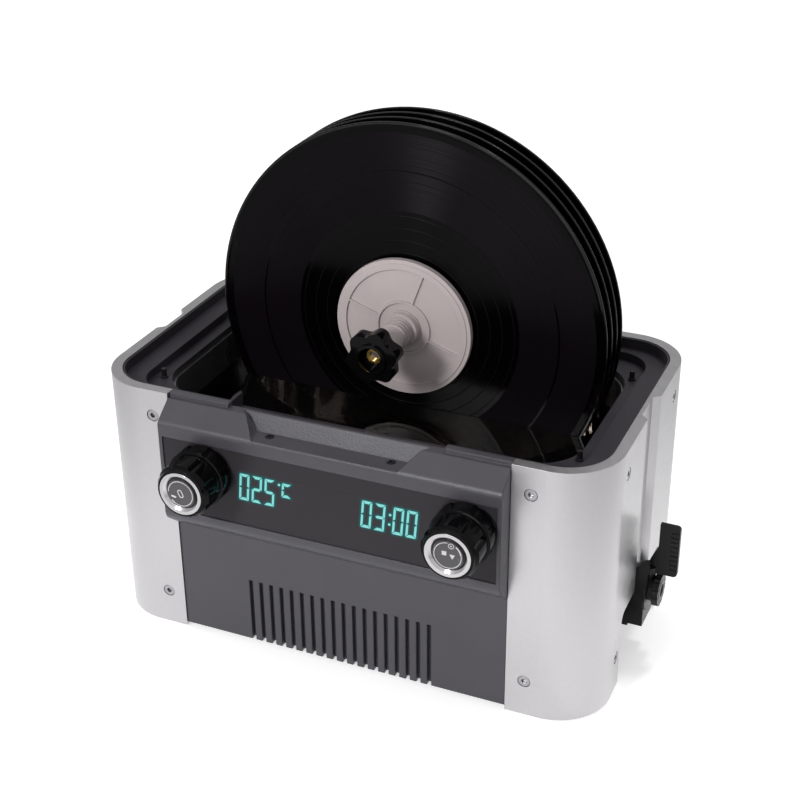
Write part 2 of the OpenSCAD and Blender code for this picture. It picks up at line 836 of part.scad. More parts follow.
module display_digits() {
    low = digit_z - digit_h / 2;
    unit_x = reading_x + 3 * digit_pitch - 0.5;
    colon_w = 3.7;
    color("turquoise") place() along_y(window_y - 0.4, window_y) translate([0, low]) {
        for (i = [0:2]) translate([reading_x + i * digit_pitch, 0]) seven(figures[[0, 2, 5][i]], digit_w, digit_h);
        translate([unit_x + 4.3, digit_h * 0.44]) seven(letter_c, digit_w * 0.93, digit_h * 0.53);
        translate([unit_x + 2.4, digit_h * 0.88]) circle(dot_r);
        for (i = [0:1]) translate([clock_x + i * digit_pitch, 0]) seven(figures[[0, 3][i]], digit_w, digit_h);
        for (i = [0:1]) {
            translate([clock_x + 2 * digit_pitch + colon_w / 2 - 0.8 + i * 0.7, digit_h * (0.32 + 0.36 * i)]) circle(dot_r);
            translate([clock_x + (i + 2) * digit_pitch + colon_w, 0]) seven(figures[0], digit_w, digit_h);
        }
    }
}

module display_board() {
    half = window_w / 2 - board_edge;
    color("darkgreen") place() {
        block([-half, board_y, window_lo + board_edge], [half, board_y + board_t, window_hi - board_edge]);
        for (x = [reading_x, clock_x]) {
            block([x - 2.5, window_y + window_t, digit_z - digit_h / 2 - 1],
                [x + 4.5 * digit_pitch, board_y + 0.01, digit_z + digit_h / 2 + 1]);
        }
        for (x = [-1, 1], z = [window_lo + 9, window_hi - 9]) {
            rod_y(x * post_x, z, post_r, window_y + window_t, board_y + board_t);
        }
    }
}

// Knobs

module encoders() {
    color("gray") place() for (x = [left_knob_x, right_knob_x]) difference() {
        union() {
            block([x - 7, window_y + window_t, axis_z - 7], [x + 7, board_y, axis_z + 7]);
            rod_y(x, axis_z, bush_r, knob_back - 1, board_y);
        }
        rod_y(x, axis_z, shaft_r + run_gap, knob_back - 2, board_y - 1);
    }
}

module shaft(x) {
    color("silver") place() rod_y(x, axis_z, shaft_r, knob_front + ring_t + 6, board_y - 2 - press_travel);
}

module knob(x) {
    ring_y = knob_front + ring_t;
    length = knob_back - knob_front;
    seam = length - skirt_l;
    color("#161616") place() difference() {
        translate([x, knob_front, axis_z]) rotate([-90, 0, 0]) rotate_extrude() polygon([
            [0, 0.6], [ring_r + nose_in, 0.6], [ring_r + nose_out, 2], [grip_r, 4.2], [grip_r, seam - 1], [grip_r - 0.8, seam - 0.5],
            [grip_r - 0.8, seam], [skirt_r, seam + 0.7], [skirt_r, length - 1], [skirt_r - 0.6, length], [0, length]
        ]);
        rod_y(x, axis_z, ring_r, knob_front - cut, ring_y);
        rod_y(x, axis_z, grip_r - 4, ring_y + 9, knob_back + cut);
        rod_y(x, axis_z, shaft_r + run_gap, ring_y + 3, knob_back + cut);
        for (i = [0:flute_count - 1]) translate([x, 0, axis_z]) rotate([0, (i + 0.5) * 360 / flute_count, 0]) {
            rod_y(grip_r - flute_depth + flute_r, 0, flute_r, knob_front + 2.5, knob_front + seam - 1.6);
            rod_y(skirt_r - flute_depth + flute_r, 0, flute_r, knob_front + seam + 2, knob_back + cut);
        }
    }
}

module knob_hub(x) {
    color("#161616") place() difference() {
        rod_y(x, axis_z, shaft_r + 3, knob_front + ring_t + 8.9, knob_back - 2);
        rod_y(x, axis_z, shaft_r + run_gap, knob_front + ring_t + 3, knob_back);
    }
}

module whole_knob(x) {
    knob(x);
    knob_hub(x);
}

module knob_ring(x) {
    color("gainsboro") place() translate([x, knob_front, axis_z]) rotate([-90, 0, 0]) rotate_extrude() polygon([
        [dish_r, 0], [ring_r, 0], [ring_r, ring_t], [ring_bore, ring_t], [ring_bore, dish_t]
    ]);
}

module knob_face(x) {
    color("#4a4a4e") place() {
        rod_y(x, axis_z, face_r, knob_front + 0.5, knob_front + ring_t);
        rod_y(x, axis_z, ring_bore - run_gap, knob_front + ring_t - 0.8, knob_front + ring_t);
    }
}

module left_shaft() {
    shaft(left_knob_x);
}

module right_shaft() {
    shaft(right_knob_x);
}

module left_knob() {
    whole_knob(left_knob_x);
}

module right_knob() {
    whole_knob(right_knob_x);
}

module left_knob_ring() {
    knob_ring(left_knob_x);
}

module right_knob_ring() {
    knob_ring(right_knob_x);
}

module left_knob_face() {
    knob_face(left_knob_x);
}

module right_knob_face() {
    knob_face(right_knob_x);
}

// Lower front panel, rear panel and base

module lower_front_panel() {
    face = front_y + panel_sink;
    low = wrap_z + panel_bottom;
    vent_back = 1.2;
    vent_half = vent_count * vent_pitch / 2;
    color("#5a5a5e") place() difference() {
        union() {
            block([-vent_half, face + 0.01, low], [vent_half, face + vent_depth + vent_back, wrap_z + vent_top + 3]);
            block([-head_w / 2, face, low], [head_w / 2, face + panel_t, chin_z - fit_gap]);
            for (s = [-1, 1]) {
                block([s * (open_half - 24) - 16, face, base_top],
                    [s * (open_half - 24) + 16, face + panel_t + 14, base_top + 3]);
            }
        }
        for (i = [0:vent_count - 1]) translate([(i - (vent_count - 1) / 2) * vent_pitch, 0, 0]) {
            block([-vent_w / 2, face - cut, low - cut], [vent_w / 2, face + vent_depth, wrap_z + vent_top]);
        }
    }
}

module fan_grille() {
    for (i = [0:2]) difference() {
        circle(fan_bore * (0.42 + 0.22 * i));
        circle(fan_bore * (0.42 + 0.22 * i) - 3.2);
        for (a = [0, 90]) rotate(a + 45) square([2.4, fan_side], center = true);
    }
}

module rear_panel() {
    low = wrap_z + panel_bottom;
    gap = 0.2;
    color("#5a5a5e") place() difference() {
        union() {
            block([-head_w / 2, rear_y - panel_t, low], [head_w / 2, rear_y, top_z - rim_drop]);
            block([-head_w / 2, back_y - wrap_t, top_z - 3], [head_w / 2, rear_y, top_z - rim_drop]);
            for (s = [-1, 1]) {
                block([s * (open_half - 15) - 10, rear_y - panel_t - 12, base_top],
                    [s * (open_half - 15) + 10, rear_y, base_top + 3]);
            }
        }
        translate([fan_x, 0, fan_z]) along_y(rear_y - panel_t - cut, rear_y + cut) fan_grille();
        block([socket_x - socket_w / 2 - gap, rear_y - panel_t - cut, power_z - socket_h / 2 - gap],
            [socket_x + socket_w / 2 + gap, rear_y + cut, power_z + socket_h / 2 + gap]);
        block([switch_x - switch_w / 2 - gap, rear_y - panel_t - cut, power_z - switch_h / 2 - gap],
            [switch_x + switch_w / 2 + gap, rear_y + cut, power_z + switch_h / 2 + gap]);
        block([-drive_w / 2 - fit_gap, back_y - wrap_t - cut, drive_low - fit_gap],
            [drive_w / 2 + fit_gap, rear_y + cut, top_z + cut]);
        for (i = [-4:4]) block([i * 9 - vent_w / 2, rear_y - panel_t - cut, top_z - rear_vent_h - rear_vent_drop],
            [i * 9 + vent_w / 2, rear_y + cut, top_z - rear_vent_drop]);
    }
}

module base_plate() {
    color("gray") place() difference() {
        slab(frame_w, frame_d, frame_r, base_z, base_top);
        block([pipe_end, -notch_w / 2, base_z - cut], [side_x, notch_w / 2, base_top + cut]);
        for (x = [-1, 1], y = [-1, 1]) rod_z(x * foot_x, y * foot_y, 2.1, base_z - cut, base_top + cut);
        for (i = [-7:7]) block([i * 12 - 3, -40, base_z - cut], [i * 12 + 3, 40, base_top + cut]);
    }
}

module feet() {
    color("#1c1c1c") place() for (x = [-1, 1], y = [-1, 1]) translate([x * foot_x, y * foot_y, 0]) {
        cylinder(h = foot_h, r = foot_r);
        cylinder(h = base_top + 1.5, r = 2);
        translate([0, 0, base_top]) cylinder(h = 1.5, r = 3.4);
    }
}

// Ultrasonic drive under the tank

module at_transducers() {
    for (i = [0:transducer_count - 1]) translate([transducer_x0 + i * transducer_pitch, 0, tank_under]) children();
}

module transducer_front_masses() {
    color("lightgray") place() at_transducers() rotate_extrude() {
        polygon([
            [0, -front_mass_h], [15, -front_mass_h], [15, -front_mass_h * 0.75], [21, -front_mass_h * 0.2], [21, 0], [0, 0]
        ]);
    }
}

module piezo_rings() {
    color("tan") place() at_transducers() for (i = [0, 1]) {
        translate([0, 0, -front_mass_h - (i + 1) * piezo_h]) difference() {
            cylinder(h = piezo_h - 0.3 * i, r = 14.6);
            translate([0, 0, -cut]) cylinder(h = piezo_h + 2 * cut, r = 6);
        }
    }
}

module transducer_back_masses() {
    low = -front_mass_h - 2 * piezo_h - back_mass_h;
    color("slategray") place() at_transducers() {
        translate([0, 0, low]) cylinder(h = back_mass_h, r = 14.8);
        translate([0, 0, low - bolt_h]) cylinder(h = bolt_h + 0.01, r = 5.5, $fn = 6);
        translate([0, 0, low]) cylinder(h = -front_mass_h - low, r = 3.6);
    }
}

module generator_board() {
    color("darkgreen") place() {
        block([gen_x - board_w / 2, -board_l / 2, gen_z], [gen_x + board_w / 2, board_l / 2, gen_z + board_t]);
        for (x = [-1, 1], y = [-1, 1]) {
            rod_z(gen_x + x * (board_w / 2 - 4), y * (board_l / 2 - 4), 2.5, base_top, gen_z + 0.01);
        }
    }
}

module generator_heatsink() {
    z0 = gen_z + board_t;
    color("silver") place() {
        block([gen_x - 13, -62, z0], [gen_x + 13, -12, z0 + 4]);
        for (i = [0:6]) block([gen_x - 13 + i * 4, -62, z0], [gen_x - 11 + i * 4, -12, z0 + 26]);
    }
}

module generator_parts() {
    z0 = gen_z + board_t;
    color("#31438a") place() {
        translate([gen_x, 8, z0]) difference() {
            cylinder(h = 12, r = 14);
            translate([0, 0, -cut]) cylinder(h = 14, r = 6);
        }
        for (y = [32, 46]) rod_z(gen_x - 8, y, 6, z0, z0 + 24);
        block([gen_x + 2, 28, z0], [gen_x + 16, 52, z0 + 16]);
        block([gen_x - 14, 58, z0], [gen_x + 14, 66, z0 + 10]);
    }
}

// Mains inlet, power switch and fan

module mains_inlet() {
    deep = 22;
    color("#181818") place() difference() {
        union() {
            block([socket_x - socket_w / 2, rear_y - deep, power_z - socket_h / 2],
                [socket_x + socket_w / 2, rear_y + 0.01, power_z + socket_h / 2]);
            block([socket_x - socket_w / 2 - 2, rear_y, power_z - socket_h / 2 - 2],
                [socket_x + socket_w / 2 + 2, rear_y + 1.6, power_z + socket_h / 2 + 2]);
        }
        block([socket_x - socket_w / 2 + 1.4, rear_y - deep + 5, power_z - socket_h / 2 + 1.6],
            [socket_x + socket_w / 2 - 1.4, rear_y + 2 + cut, power_z + socket_h / 2 - 1.6]);
    }
    color("gainsboro") place() for (p = [[-7, -2], [0, 2], [7, -2]]) {
        block([socket_x + p[0] - 1, rear_y - deep - 6, power_z + p[1] - 2],
            [socket_x + p[0] + 1, rear_y - 5, power_z + p[1] + 2]);
    }
}

module switch_bezel() {
    color("#181818") place() difference() {
        union() {
            block([switch_x - switch_w / 2, rear_y - 16, power_z - switch_h / 2],
                [switch_x + switch_w / 2, rear_y + 0.01, power_z + switch_h / 2]);
            block([switch_x - switch_w / 2 - 1.8, rear_y, power_z - switch_h / 2 - 1.8],
                [switch_x + switch_w / 2 + 1.8, rear_y + 1.4, power_z + switch_h / 2 + 1.8]);
        }
        block([switch_x - switch_w / 2 + 1.6, rear_y - 13, power_z - switch_h / 2 + 1.2],
            [switch_x + switch_w / 2 - 1.6, rear_y + 2 + cut, power_z + switch_h / 2 - 1.2]);
        rod_x(rear_y - 5, power_z, 1.3, switch_x - switch_w / 2 + 0.6, switch_x + switch_w / 2 - 0.6);
    }
}

rocker_tilt = 8;

module power_rocker() {
    half = switch_w / 2 - 1.6 - fit_gap;
    tall = switch_h / 2 - 1.2 - fit_gap;
    color("#a01818") place() translate([switch_x, rear_y - 5, power_z]) rotate([rocker_tilt, 0, 0]) {
        along_x(-half, half) intersection() {
            polygon([[-4, -5], [1, -tall], [6.4, -tall], [5.2, 0], [6.4, tall], [1, tall], [-4, 5]]);
            circle(tall);
        }
        rod_x(0, 0, 1.25, -half - 0.8, half + 0.8);
    }
}

module fan_frame() {
    half = fan_side / 2;
    color("#202020") place() {
        difference() {
            block([fan_x - half, fan_y, fan_z - half], [fan_x + half, fan_y + fan_d, fan_z + half]);
            rod_y(fan_x, fan_z, fan_bore, fan_y - cut, fan_y + fan_d + cut);
            for (x = [-1, 1], z = [-1, 1]) {
                rod_y(fan_x + x * (half - 4), fan_z + z * (half - 4), 1.8, fan_y - cut, fan_y + fan_d + cut);
            }
        }
        rod_y(fan_x, fan_z, 9, fan_y, fan_y + 2);
        rod_y(fan_x, fan_z, 1.5, fan_y, fan_y + fan_d - 3);
        for (a = [45, 135]) translate([fan_x, 0, fan_z]) rotate([0, a, 0]) {
            block([-fan_bore - 0.5, fan_y, -1.2], [fan_bore + 0.5, fan_y + 1.7, 1.2]);
        }
    }
}

module fan_rotor() {
    color("#2a2a2a") place() difference() {
        union() {
            rod_y(fan_x, fan_z, 9, fan_y + 2.4, fan_y + fan_d - 1.4);
            for (i = [0:6]) translate([fan_x, fan_y + fan_d / 2 + 0.5, fan_z]) rotate([0, i * 360 / 7, 0]) {
                translate([8, 0, 0]) rotate([40, 0, 0]) block([0, -0.7, -6], [fan_bore - 9.5, 0.7, 6]);
            }
        }
        rod_y(fan_x, fan_z, 1.5 + run_gap, fan_y + 1, fan_y + fan_d - 2.6);
    }
}

// Drain: pipe, ball valve, lever and outlet

module drain_pipe() {
    outer = drain_r + pipe_wall;
    color("#d8d8d0") place() difference() {
        union() {
            rod_z(drain_x, 0, outer, axis_valve_z, tank_under);
            translate([drain_x, 0, axis_valve_z]) sphere(outer);
            rod_x(0, axis_valve_z, outer, drain_x, pipe_end);
        }
        rod_z(drain_x, 0, drain_r, axis_valve_z, tank_under + cut);
        translate([drain_x, 0, axis_valve_z]) sphere(drain_r);
        rod_x(0, axis_valve_z, drain_r, drain_x, pipe_end + cut);
    }
}

module recess_panel() {
    color("#2a2a2c") place() difference() {
        block([pipe_end - 2, -notch_w / 2 - 2, base_top], [pipe_end, notch_w / 2 + 2, tank_under - 1]);
        rod_x(0, axis_valve_z, drain_r + pipe_wall + 0.2, pipe_end - 2 - cut, pipe_end + cut);
    }
}

module valve_body() {
    cheek = 6;
    wall_x = side_x - channel_depth + fit_gap;
    notch_z = wrap_z + notch_h - fit_gap;
    cheek_top = axis_valve_z + 27;
    color("#1b1b1d") place() difference() {
        union() {
            block([pipe_end, -block_half, axis_valve_z - 28], [wall_x + 0.01, block_half, notch_z]);
            block([wall_x, -block_half, axis_valve_z - 26], [block_out, block_half, axis_valve_z + 10.6]);
            along_y(-block_half, -block_half + cheek - 0.5) polygon([
                [wall_x, axis_valve_z], [block_out, axis_valve_z], [block_out + 2, cheek_top],
                [wall_x + 7, cheek_top], [wall_x, cheek_top - 7]
            ]);
            rod_x(0, axis_valve_z, barrel_r, block_out - 1, barrel_end);
            difference() {
                rod_x(0, axis_valve_z, flange_r, block_out - 0.5, block_out + flange_l);
                block([block_out - cut, -flange_r, bonnet_z], [block_out + flange_l + cut, flange_r, lever_low + flange_r]);
            }
            rod_z(stem_x, 0, bonnet_r, axis_valve_z, bonnet_z);
        }
        rod_x(0, axis_valve_z, drain_r - 0.1, pipe_end - cut, stem_x - ball_r - 4);
        rod_x(0, axis_valve_z, flow_r, pipe_end, barrel_end + cut);
        rod_x(0, axis_valve_z, seat_r + run_gap, seat_x, barrel_end + cut);
        translate([stem_x, 0, axis_valve_z]) sphere(ball_r + 0.2);
        rod_z(stem_x, 0, stem_r + run_gap, axis_valve_z, bonnet_z + cut);
    }
}

module valve_ball() {
    color("silver") place() difference() {
        translate([stem_x, 0, axis_valve_z]) sphere(ball_r);
        rod_y(stem_x, axis_valve_z, flow_r, -ball_r - cut, ball_r + cut);
        block([stem_x - stem_r - cut, -stem_r - cut, axis_valve_z + ball_r - 1.2],
            [stem_x + stem_r + cut, stem_r + cut, axis_valve_z + ball_r + cut]);
    }
}

module drain_lever() {
    hub_z = lever_low;
    hub_h = 5.2;
    arm_h = 23;
    grip_x = stem_x + bonnet_r + 0.9;
    color("#1b1b1d") place() {
        rod_z(stem_x, 0, stem_r, axis_valve_z + ball_r - 1.2, hub_z + 1);
        rod_z(stem_x, 0, bonnet_r + 1, hub_z, hub_z + hub_h);
        along_y(-lever_t / 2, lever_t / 2) {
            polygon([
                [stem_x, hub_z], [grip_x + 2, hub_z], [grip_x + 2, hub_z + arm_h], [grip_x, hub_z + arm_h],
                [stem_x, hub_z + arm_h - 13]
            ]);
            translate([grip_x, lever_low]) square([lever_x - grip_x - 3, lever_h]);
            translate([grip_x, lever_low + 3]) square([lever_x - grip_x, lever_h - 6]);
            for (z = [lever_low + 3, lever_low + lever_h - 3]) translate([lever_x - 3, z]) circle(3);
        }
        for (i = [0:8]) {
            block([lever_x - 6, -lever_t / 2 - 0.6, lever_low + 5 + i * (lever_h - 11) / 8 - 0.8],
                [lever_x - 0.8, lever_t / 2 + 0.6, lever_low + 5 + i * (lever_h - 11) / 8 + 0.8]);
        }
    }
}

module outlet_nut() {
    color("#1b1b1d") place() difference() {
        rod_x(0, axis_valve_z, nut_r, nut_x, nut_x + nut_w);
        rod_x(0, axis_valve_z, barrel_r + run_gap, nut_x - cut, barrel_end + collar_t + run_gap);
        rod_x(0, axis_valve_z, nozzle_r + run_gap, nut_x, nut_x + nut_w + cut);
        for (i = [0:11]) rotate_about_flow(i * 30) rod_x(nut_r + 0.6, 0, 1.4, nut_x - cut, nut_x + nut_w + cut);
    }
}

module rotate_about_flow(a) {
    translate([0, 0, axis_valve_z]) rotate([a, 0, 0]) children();
}

module outlet_nozzle() {
    color("lightgray") place() difference() {
        union() {
            rod_x(0, axis_valve_z, nozzle_r, barrel_end, nozzle_end);
            rod_x(0, axis_valve_z, barrel_r - 0.1, barrel_end, barrel_end + collar_t);
            rod_x(0, axis_valve_z, seat_r, seat_x, barrel_end + 0.01);
        }
        rod_x(0, axis_valve_z, nozzle_bore, bore_x - cut, nozzle_end + cut);
        rod_x(0, axis_valve_z, tail_bore, seat_x - cut, bore_x);
    }
}

// Spindle, records and clamp

module spindle_shaft() {
    color("silver") place() {
        rod_y(0, spindle_z, rod_r, rod_front, shoulder_y + 1);
        rod_y(0, spindle_z, 9, shoulder_y, drive_y - 2.4);
        rod_y(0, spindle_z, shaft_big_r, drive_y - 3, drive_back - drive_wall + 1.6);
    }
}

module record(i) {
    y = stack_y + (i - 1) * record_pitch;
    round_r = 0.8;
    half = [
        [hole_r, 0], [land_r, 0], [land_r + 1, groove_sink],
        [record_r - bead_w, groove_sink], [record_r - bead_w + 1, 0]
    ];
    edge = arc([record_r - round_r, round_r], round_r, 270, 360, 4);
    side = concat(half, edge);
    color("#0c0c0c") place() translate([0, y, spindle_z]) rotate([-90, 0, 0]) rotate_extrude() {
        polygon(concat(side, [for (j = [len(side) - 1:-1:0]) [side[j][0], record_t - side[j][1]]]));
    }
}

module record_1() {
    record(1);
}

module record_2() {
    record(2);
}

module record_3() {
    record(3);
}

module record_4() {
    record(4);
}

module record_spacers() {
    color("#c8c4c4") place() for (i = [0:2]) {
        y = stack_y + i * record_pitch + record_t;
        difference() {
            rod_y(0, spindle_z, spacer_r, y, y + record_pitch - record_t);
            rod_y(0, spindle_z, hole_r, y - cut, y + record_pitch + cut);
        }
    }
}

// A cover has a stepped rim, a raised ring and four thin ribs on its outer face,
// and a narrower land behind it that seals against the label
module label_cover() {
    rim = 7.5;
    rim_step = 3;
    sink = 1.8;
    ring_in = 19.2;
    ring_out = 21;
    boss = sleeve_r + 2;
    difference() {
        union() {
            rod_y(0, 0, cover_r, 0.7, cover_t);
            rod_y(0, 0, cover_r - rim_step, 0, 1);
            rod_y(0, 0, cover_r - 4, cover_t - 0.01, cover_t + seal_t);
        }
        difference() {
            rod_y(0, 0, cover_r - rim, -cut, sink);
            rod_y(0, 0, ring_out, -2 * cut, sink + cut);
            for (a = [20, 110, 200, 290]) rotate([0, a, 0]) block([ring_out - 1, 0, -0.6], [cover_r - rim + 1, sink, 0.6]);
        }
        difference() {
            rod_y(0, 0, ring_in, -cut, sink);
            rod_y(0, 0, boss, -2 * cut, sink + cut);
        }
        rod_y(0, 0, hole_r, -2 * cut, cover_t + seal_t + cut);
    }
}

module label_covers() {
    color("#c8c4c4") place() {
        translate([0, front_cover_y, spindle_z]) label_cover();
        translate([0, rear_cover_y + cover_t, spindle_z]) rotate([0, 0, 180]) label_cover();
    }
}

module clamp_sleeve() {
    collar = 12;
    neck = sleeve_r - 2.2;
    thread = 14;
    ridges = 4;
    color("#c8c4c4") place() difference() {
        union() {
            rod_y(0, spindle_z, sleeve_r + 1.5, front_cover_y - 5, front_cover_y);
            rod_y(0, spindle_z, neck, sleeve_y + collar - 0.01, front_cover_y - 4.9);
            rod_y(0, spindle_z, sleeve_r, sleeve_y, sleeve_y + collar);
            for (i = [0:ridges - 1]) {
                y = front_cover_y - 5 - (i + 0.5) * thread / ridges;
                rod_y(0, spindle_z, neck + 1.2, y - 0.9, y + 0.9);
            }
        }
        rod_y(0, spindle_z, hole_r, sleeve_y - cut, front_cover_y + cut);
    }
}

module star_plan() {
    step = 360 / star_lobes;
    difference() {
        union() {
            circle(star_r * 0.88);
            for (i = [0:star_lobes - 1]) rotate(i * step + 15) translate([star_r * 0.7, 0]) circle(star_r * 0.3);
        }
        for (i = [0:star_lobes - 1]) rotate((i + 0.5) * step + 15) translate([star_r * 1.1, 0]) circle(star_r * 0.29);
    }
}

module star_knob() {
    color("#141414") place() translate([0, 0, spindle_z]) difference() {
        union() {
            along_y(star_y + 2, star_y + star_t - 2) star_plan();
            rod_y(0, 0, hollow_r + 2.4, star_y, star_y + star_t);
        }
        rod_y(0, 0, insert_r + run_gap, star_y - cut, star_y + star_t + cut);
        rod_y(0, 0, hollow_r, star_y - cut, star_y + hollow_d);
    }
}

module knob_insert() {
    color("goldenrod") place() difference() {
        rod_y(0, spindle_z, insert_r, star_y + hollow_d - 2, star_y + star_t);
        rod_y(0, spindle_z, rod_r + run_gap, star_y - cut, star_y + star_t + cut);
    }
}

// Spindle drive at the back

function tooth_points(n, m, i) =
    let (p = m * n / 2, a = 360 / n, hi = p + 0.8 * m, lo = p - 1.1 * m)
    [for (q = [[lo, -0.29], [p, -0.2], [hi, -0.1], [hi, 0.1], [p, 0.2], [lo, 0.29]])
        [q[0] * cos((i + q[1]) * a), q[0] * sin((i + q[1]) * a)]];

module gear_plan(n, m) {
    polygon([for (i = [0:n - 1]) for (q = tooth_points(n, m, i)) q]);
}

module spindle_gear() {
    color("ivory") place() translate([0, 0, spindle_z]) difference() {
        along_y(gear_y, gear_y + gear_w) rotate(90) gear_plan(gear_teeth, gear_module);
        rod_y(0, 0, shaft_big_r, gear_y - cut, gear_y + gear_w + cut);
    }
}

module motor_pinion() {
    color("goldenrod") place() translate([0, 0, motor_z]) difference() {
        along_y(gear_y, gear_y + gear_w) rotate(270 + 180 / pinion_teeth) gear_plan(pinion_teeth, gear_module);
        rod_y(0, 0, 2 + run_gap, gear_y - cut, gear_y + gear_w + cut);
    }
}

module gear_motor() {
    color("darkgray") place() {
        rod_y(0, motor_z, motor_r, motor_y, motor_y + motor_l);
        rod_y(0, motor_z, 2, motor_y + motor_l - 0.01, gear_y + gear_w);
    }
}

module drive_plan(w, up, low) {
    r = 10;
    translate([-w / 2, low]) square([w, spindle_z + up - low - r]);
    translate([-w / 2 + r, low]) square([w - 2 * r, spindle_z + up - low]);
    for (s = [-1, 1]) translate([s * (w / 2 - r), spindle_z + up - r]) circle(r);
}

module drive_housing() {
    inner = drive_w - 2 * drive_wall;
    seat_y = drive_y + drive_wall;
    color("#4c4c50") place() difference() {
        union() {
            along_y(drive_y, drive_back - drive_wall) drive_plan(drive_w, drive_up, drive_low);
            rod_y(0, spindle_z, 9, seat_y - 0.01, seat_y + 3);
        }
        difference() {
            along_y(seat_y, drive_back) drive_plan(inner, drive_up - drive_wall, drive_low + drive_wall);
            rod_y(0, spindle_z, 9, seat_y - cut, seat_y + 3);
            difference() {
                rod_y(0, motor_z, motor_r + 2, seat_y - cut, motor_y + motor_l - 4);
                rod_y(0, motor_z, motor_r, seat_y - cut, drive_back);
            }
        }
        rod_y(0, spindle_z, shaft_big_r + 1.5, drive_y - cut, seat_y + 4);
        housing_screw_places() rod_z(0, 0, 1.4, drive_low - cut, drive_low + drive_wall + cut);
    }
}

module drive_cover() {
    color("#4c4c50") place() difference() {
        union() {
            along_y(drive_back - drive_wall, drive_back) drive_plan(drive_w, drive_up, drive_low);
            rod_y(0, spindle_z, 9, drive_back - drive_wall - 1.2, drive_back - drive_wall + 0.01);
        }
        rod_y(0, spindle_z, shaft_big_r + 1.5, drive_back - drive_wall - 2, drive_back - 0.7);
    }
}

module shaft_bushes() {
    color("peru") place() {
        difference() {
            union() {
                rod_y(0, spindle_z, shaft_big_r + 1.5, drive_y, drive_y + drive_wall + 3);
                rod_y(0, spindle_z, shaft_big_r + 3, drive_y - 1.6, drive_y);
            }
            rod_y(0, spindle_z, shaft_big_r + run_gap, drive_y - 2 - cut, drive_y + drive_wall + 4);
        }
        difference() {
            rod_y(0, spindle_z, shaft_big_r + 1.5, drive_back - drive_wall - 1.2, drive_back - 0.7);
            rod_y(0, spindle_z, shaft_big_r + run_gap, drive_back - drive_wall - 2, drive_back);
        }
    }
}

left_side_wrap();
right_side_wrap();
wrap_screws();
corner_brackets();
lower_front_panel();
control_head();
display_window();
display_digits();
display_board();
top_frame();
top_screws();
tank();
tank_gasket();
rear_panel();
base_plate();
feet();
transducer_front_masses();
piezo_rings();
transducer_back_masses();
heater_pad();
generator_board();
generator_heatsink();
generator_parts();
mains_inlet();
switch_bezel();
power_rocker();
fan_frame();
fan_rotor();
drain_pipe();
valve_body();
valve_ball();
drain_lever();
outlet_nut();
outlet_nozzle();
recess_panel();
encoders();
left_shaft();
left_knob();
left_knob_ring();
left_knob_face();
right_shaft();
right_knob();
right_knob_ring();
right_knob_face();
drive_housing();
drive_cover();
gear_motor();
motor_pinion();
spindle_gear();
spindle_shaft();
shaft_bushes();
record_1();
record_2();
record_3();
record_4();
record_spacers();
label_covers();
clamp_sleeve();
star_knob();
knob_insert();
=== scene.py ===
"""Looks of the record cleaning machine, put together in the order of a bench build."""
import math

import bmesh
import bpy
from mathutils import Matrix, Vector
from mathutils.bvhtree import BVHTree


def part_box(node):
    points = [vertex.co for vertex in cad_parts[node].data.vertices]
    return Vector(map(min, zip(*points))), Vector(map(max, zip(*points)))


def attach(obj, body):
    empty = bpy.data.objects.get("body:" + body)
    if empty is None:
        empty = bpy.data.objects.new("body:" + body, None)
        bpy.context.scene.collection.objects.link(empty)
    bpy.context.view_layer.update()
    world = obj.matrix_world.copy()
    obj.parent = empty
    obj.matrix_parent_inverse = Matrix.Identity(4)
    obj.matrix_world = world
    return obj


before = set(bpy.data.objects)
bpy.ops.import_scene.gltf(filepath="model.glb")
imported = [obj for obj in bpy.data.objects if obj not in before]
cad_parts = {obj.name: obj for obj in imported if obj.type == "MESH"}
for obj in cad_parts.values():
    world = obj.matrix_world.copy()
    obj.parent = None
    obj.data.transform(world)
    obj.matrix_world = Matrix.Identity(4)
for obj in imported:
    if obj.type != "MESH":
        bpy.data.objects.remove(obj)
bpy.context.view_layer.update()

# Camera
# A long lens stands a little over a metre away, in front of the right front
# corner and looking down on the machine, as the photograph was taken.
MM = 0.001
azimuth = math.radians(23.59)
elevation = math.radians(27.76)
roll = math.radians(-0.52)
focal_px = 1517.2
image_px = 800
aim = Vector((-12.9, 24.75, 102)) * MM
distance = 1144.26 * MM
slide_right = 1.41 * MM
slide_up = 56.96 * MM

forward = Vector((-math.sin(azimuth) * math.cos(elevation),
                  math.cos(azimuth) * math.cos(elevation),
                  -math.sin(elevation)))
level = Vector((math.cos(azimuth), math.sin(azimuth), 0))
rise = level.cross(forward)
right = math.cos(roll) * level + math.sin(roll) * rise
up = math.cos(roll) * rise - math.sin(roll) * level


def place(name, data):
    """Puts an object with these data in the scene."""
    made = bpy.data.objects.new(name, data)
    bpy.context.scene.collection.objects.link(made)
    return made


lens = bpy.data.cameras.new("camera")
lens.sensor_width = 36
lens.lens = lens.sensor_width * focal_px / image_px
lens.clip_start = 0.05
camera = place("camera", lens)
camera.matrix_world.col[0] = (*right, 0)
camera.matrix_world.col[1] = (*up, 0)
camera.matrix_world.col[2] = (*-forward, 0)
camera.matrix_world.col[3] = (*(aim + slide_right * right + slide_up * up - distance * forward), 1)
bpy.context.scene.camera = camera


# Base plate and corner brackets
# Folded steel sheet that carries everything, zinc plated and passivated dark.
# The brackets are riveted to it, and the casing screws bite into them.
noise_low, noise_high = 0.3, 0.7  # nearly all of a noise field lies between these
edge_samples = 4
crevice_samples = 6
crevice_shut, crevice_open = 0.3, 0.75  # shares of open sky at which a gap is darkest and clear
painted_gap_shade = "#0d0c0e"


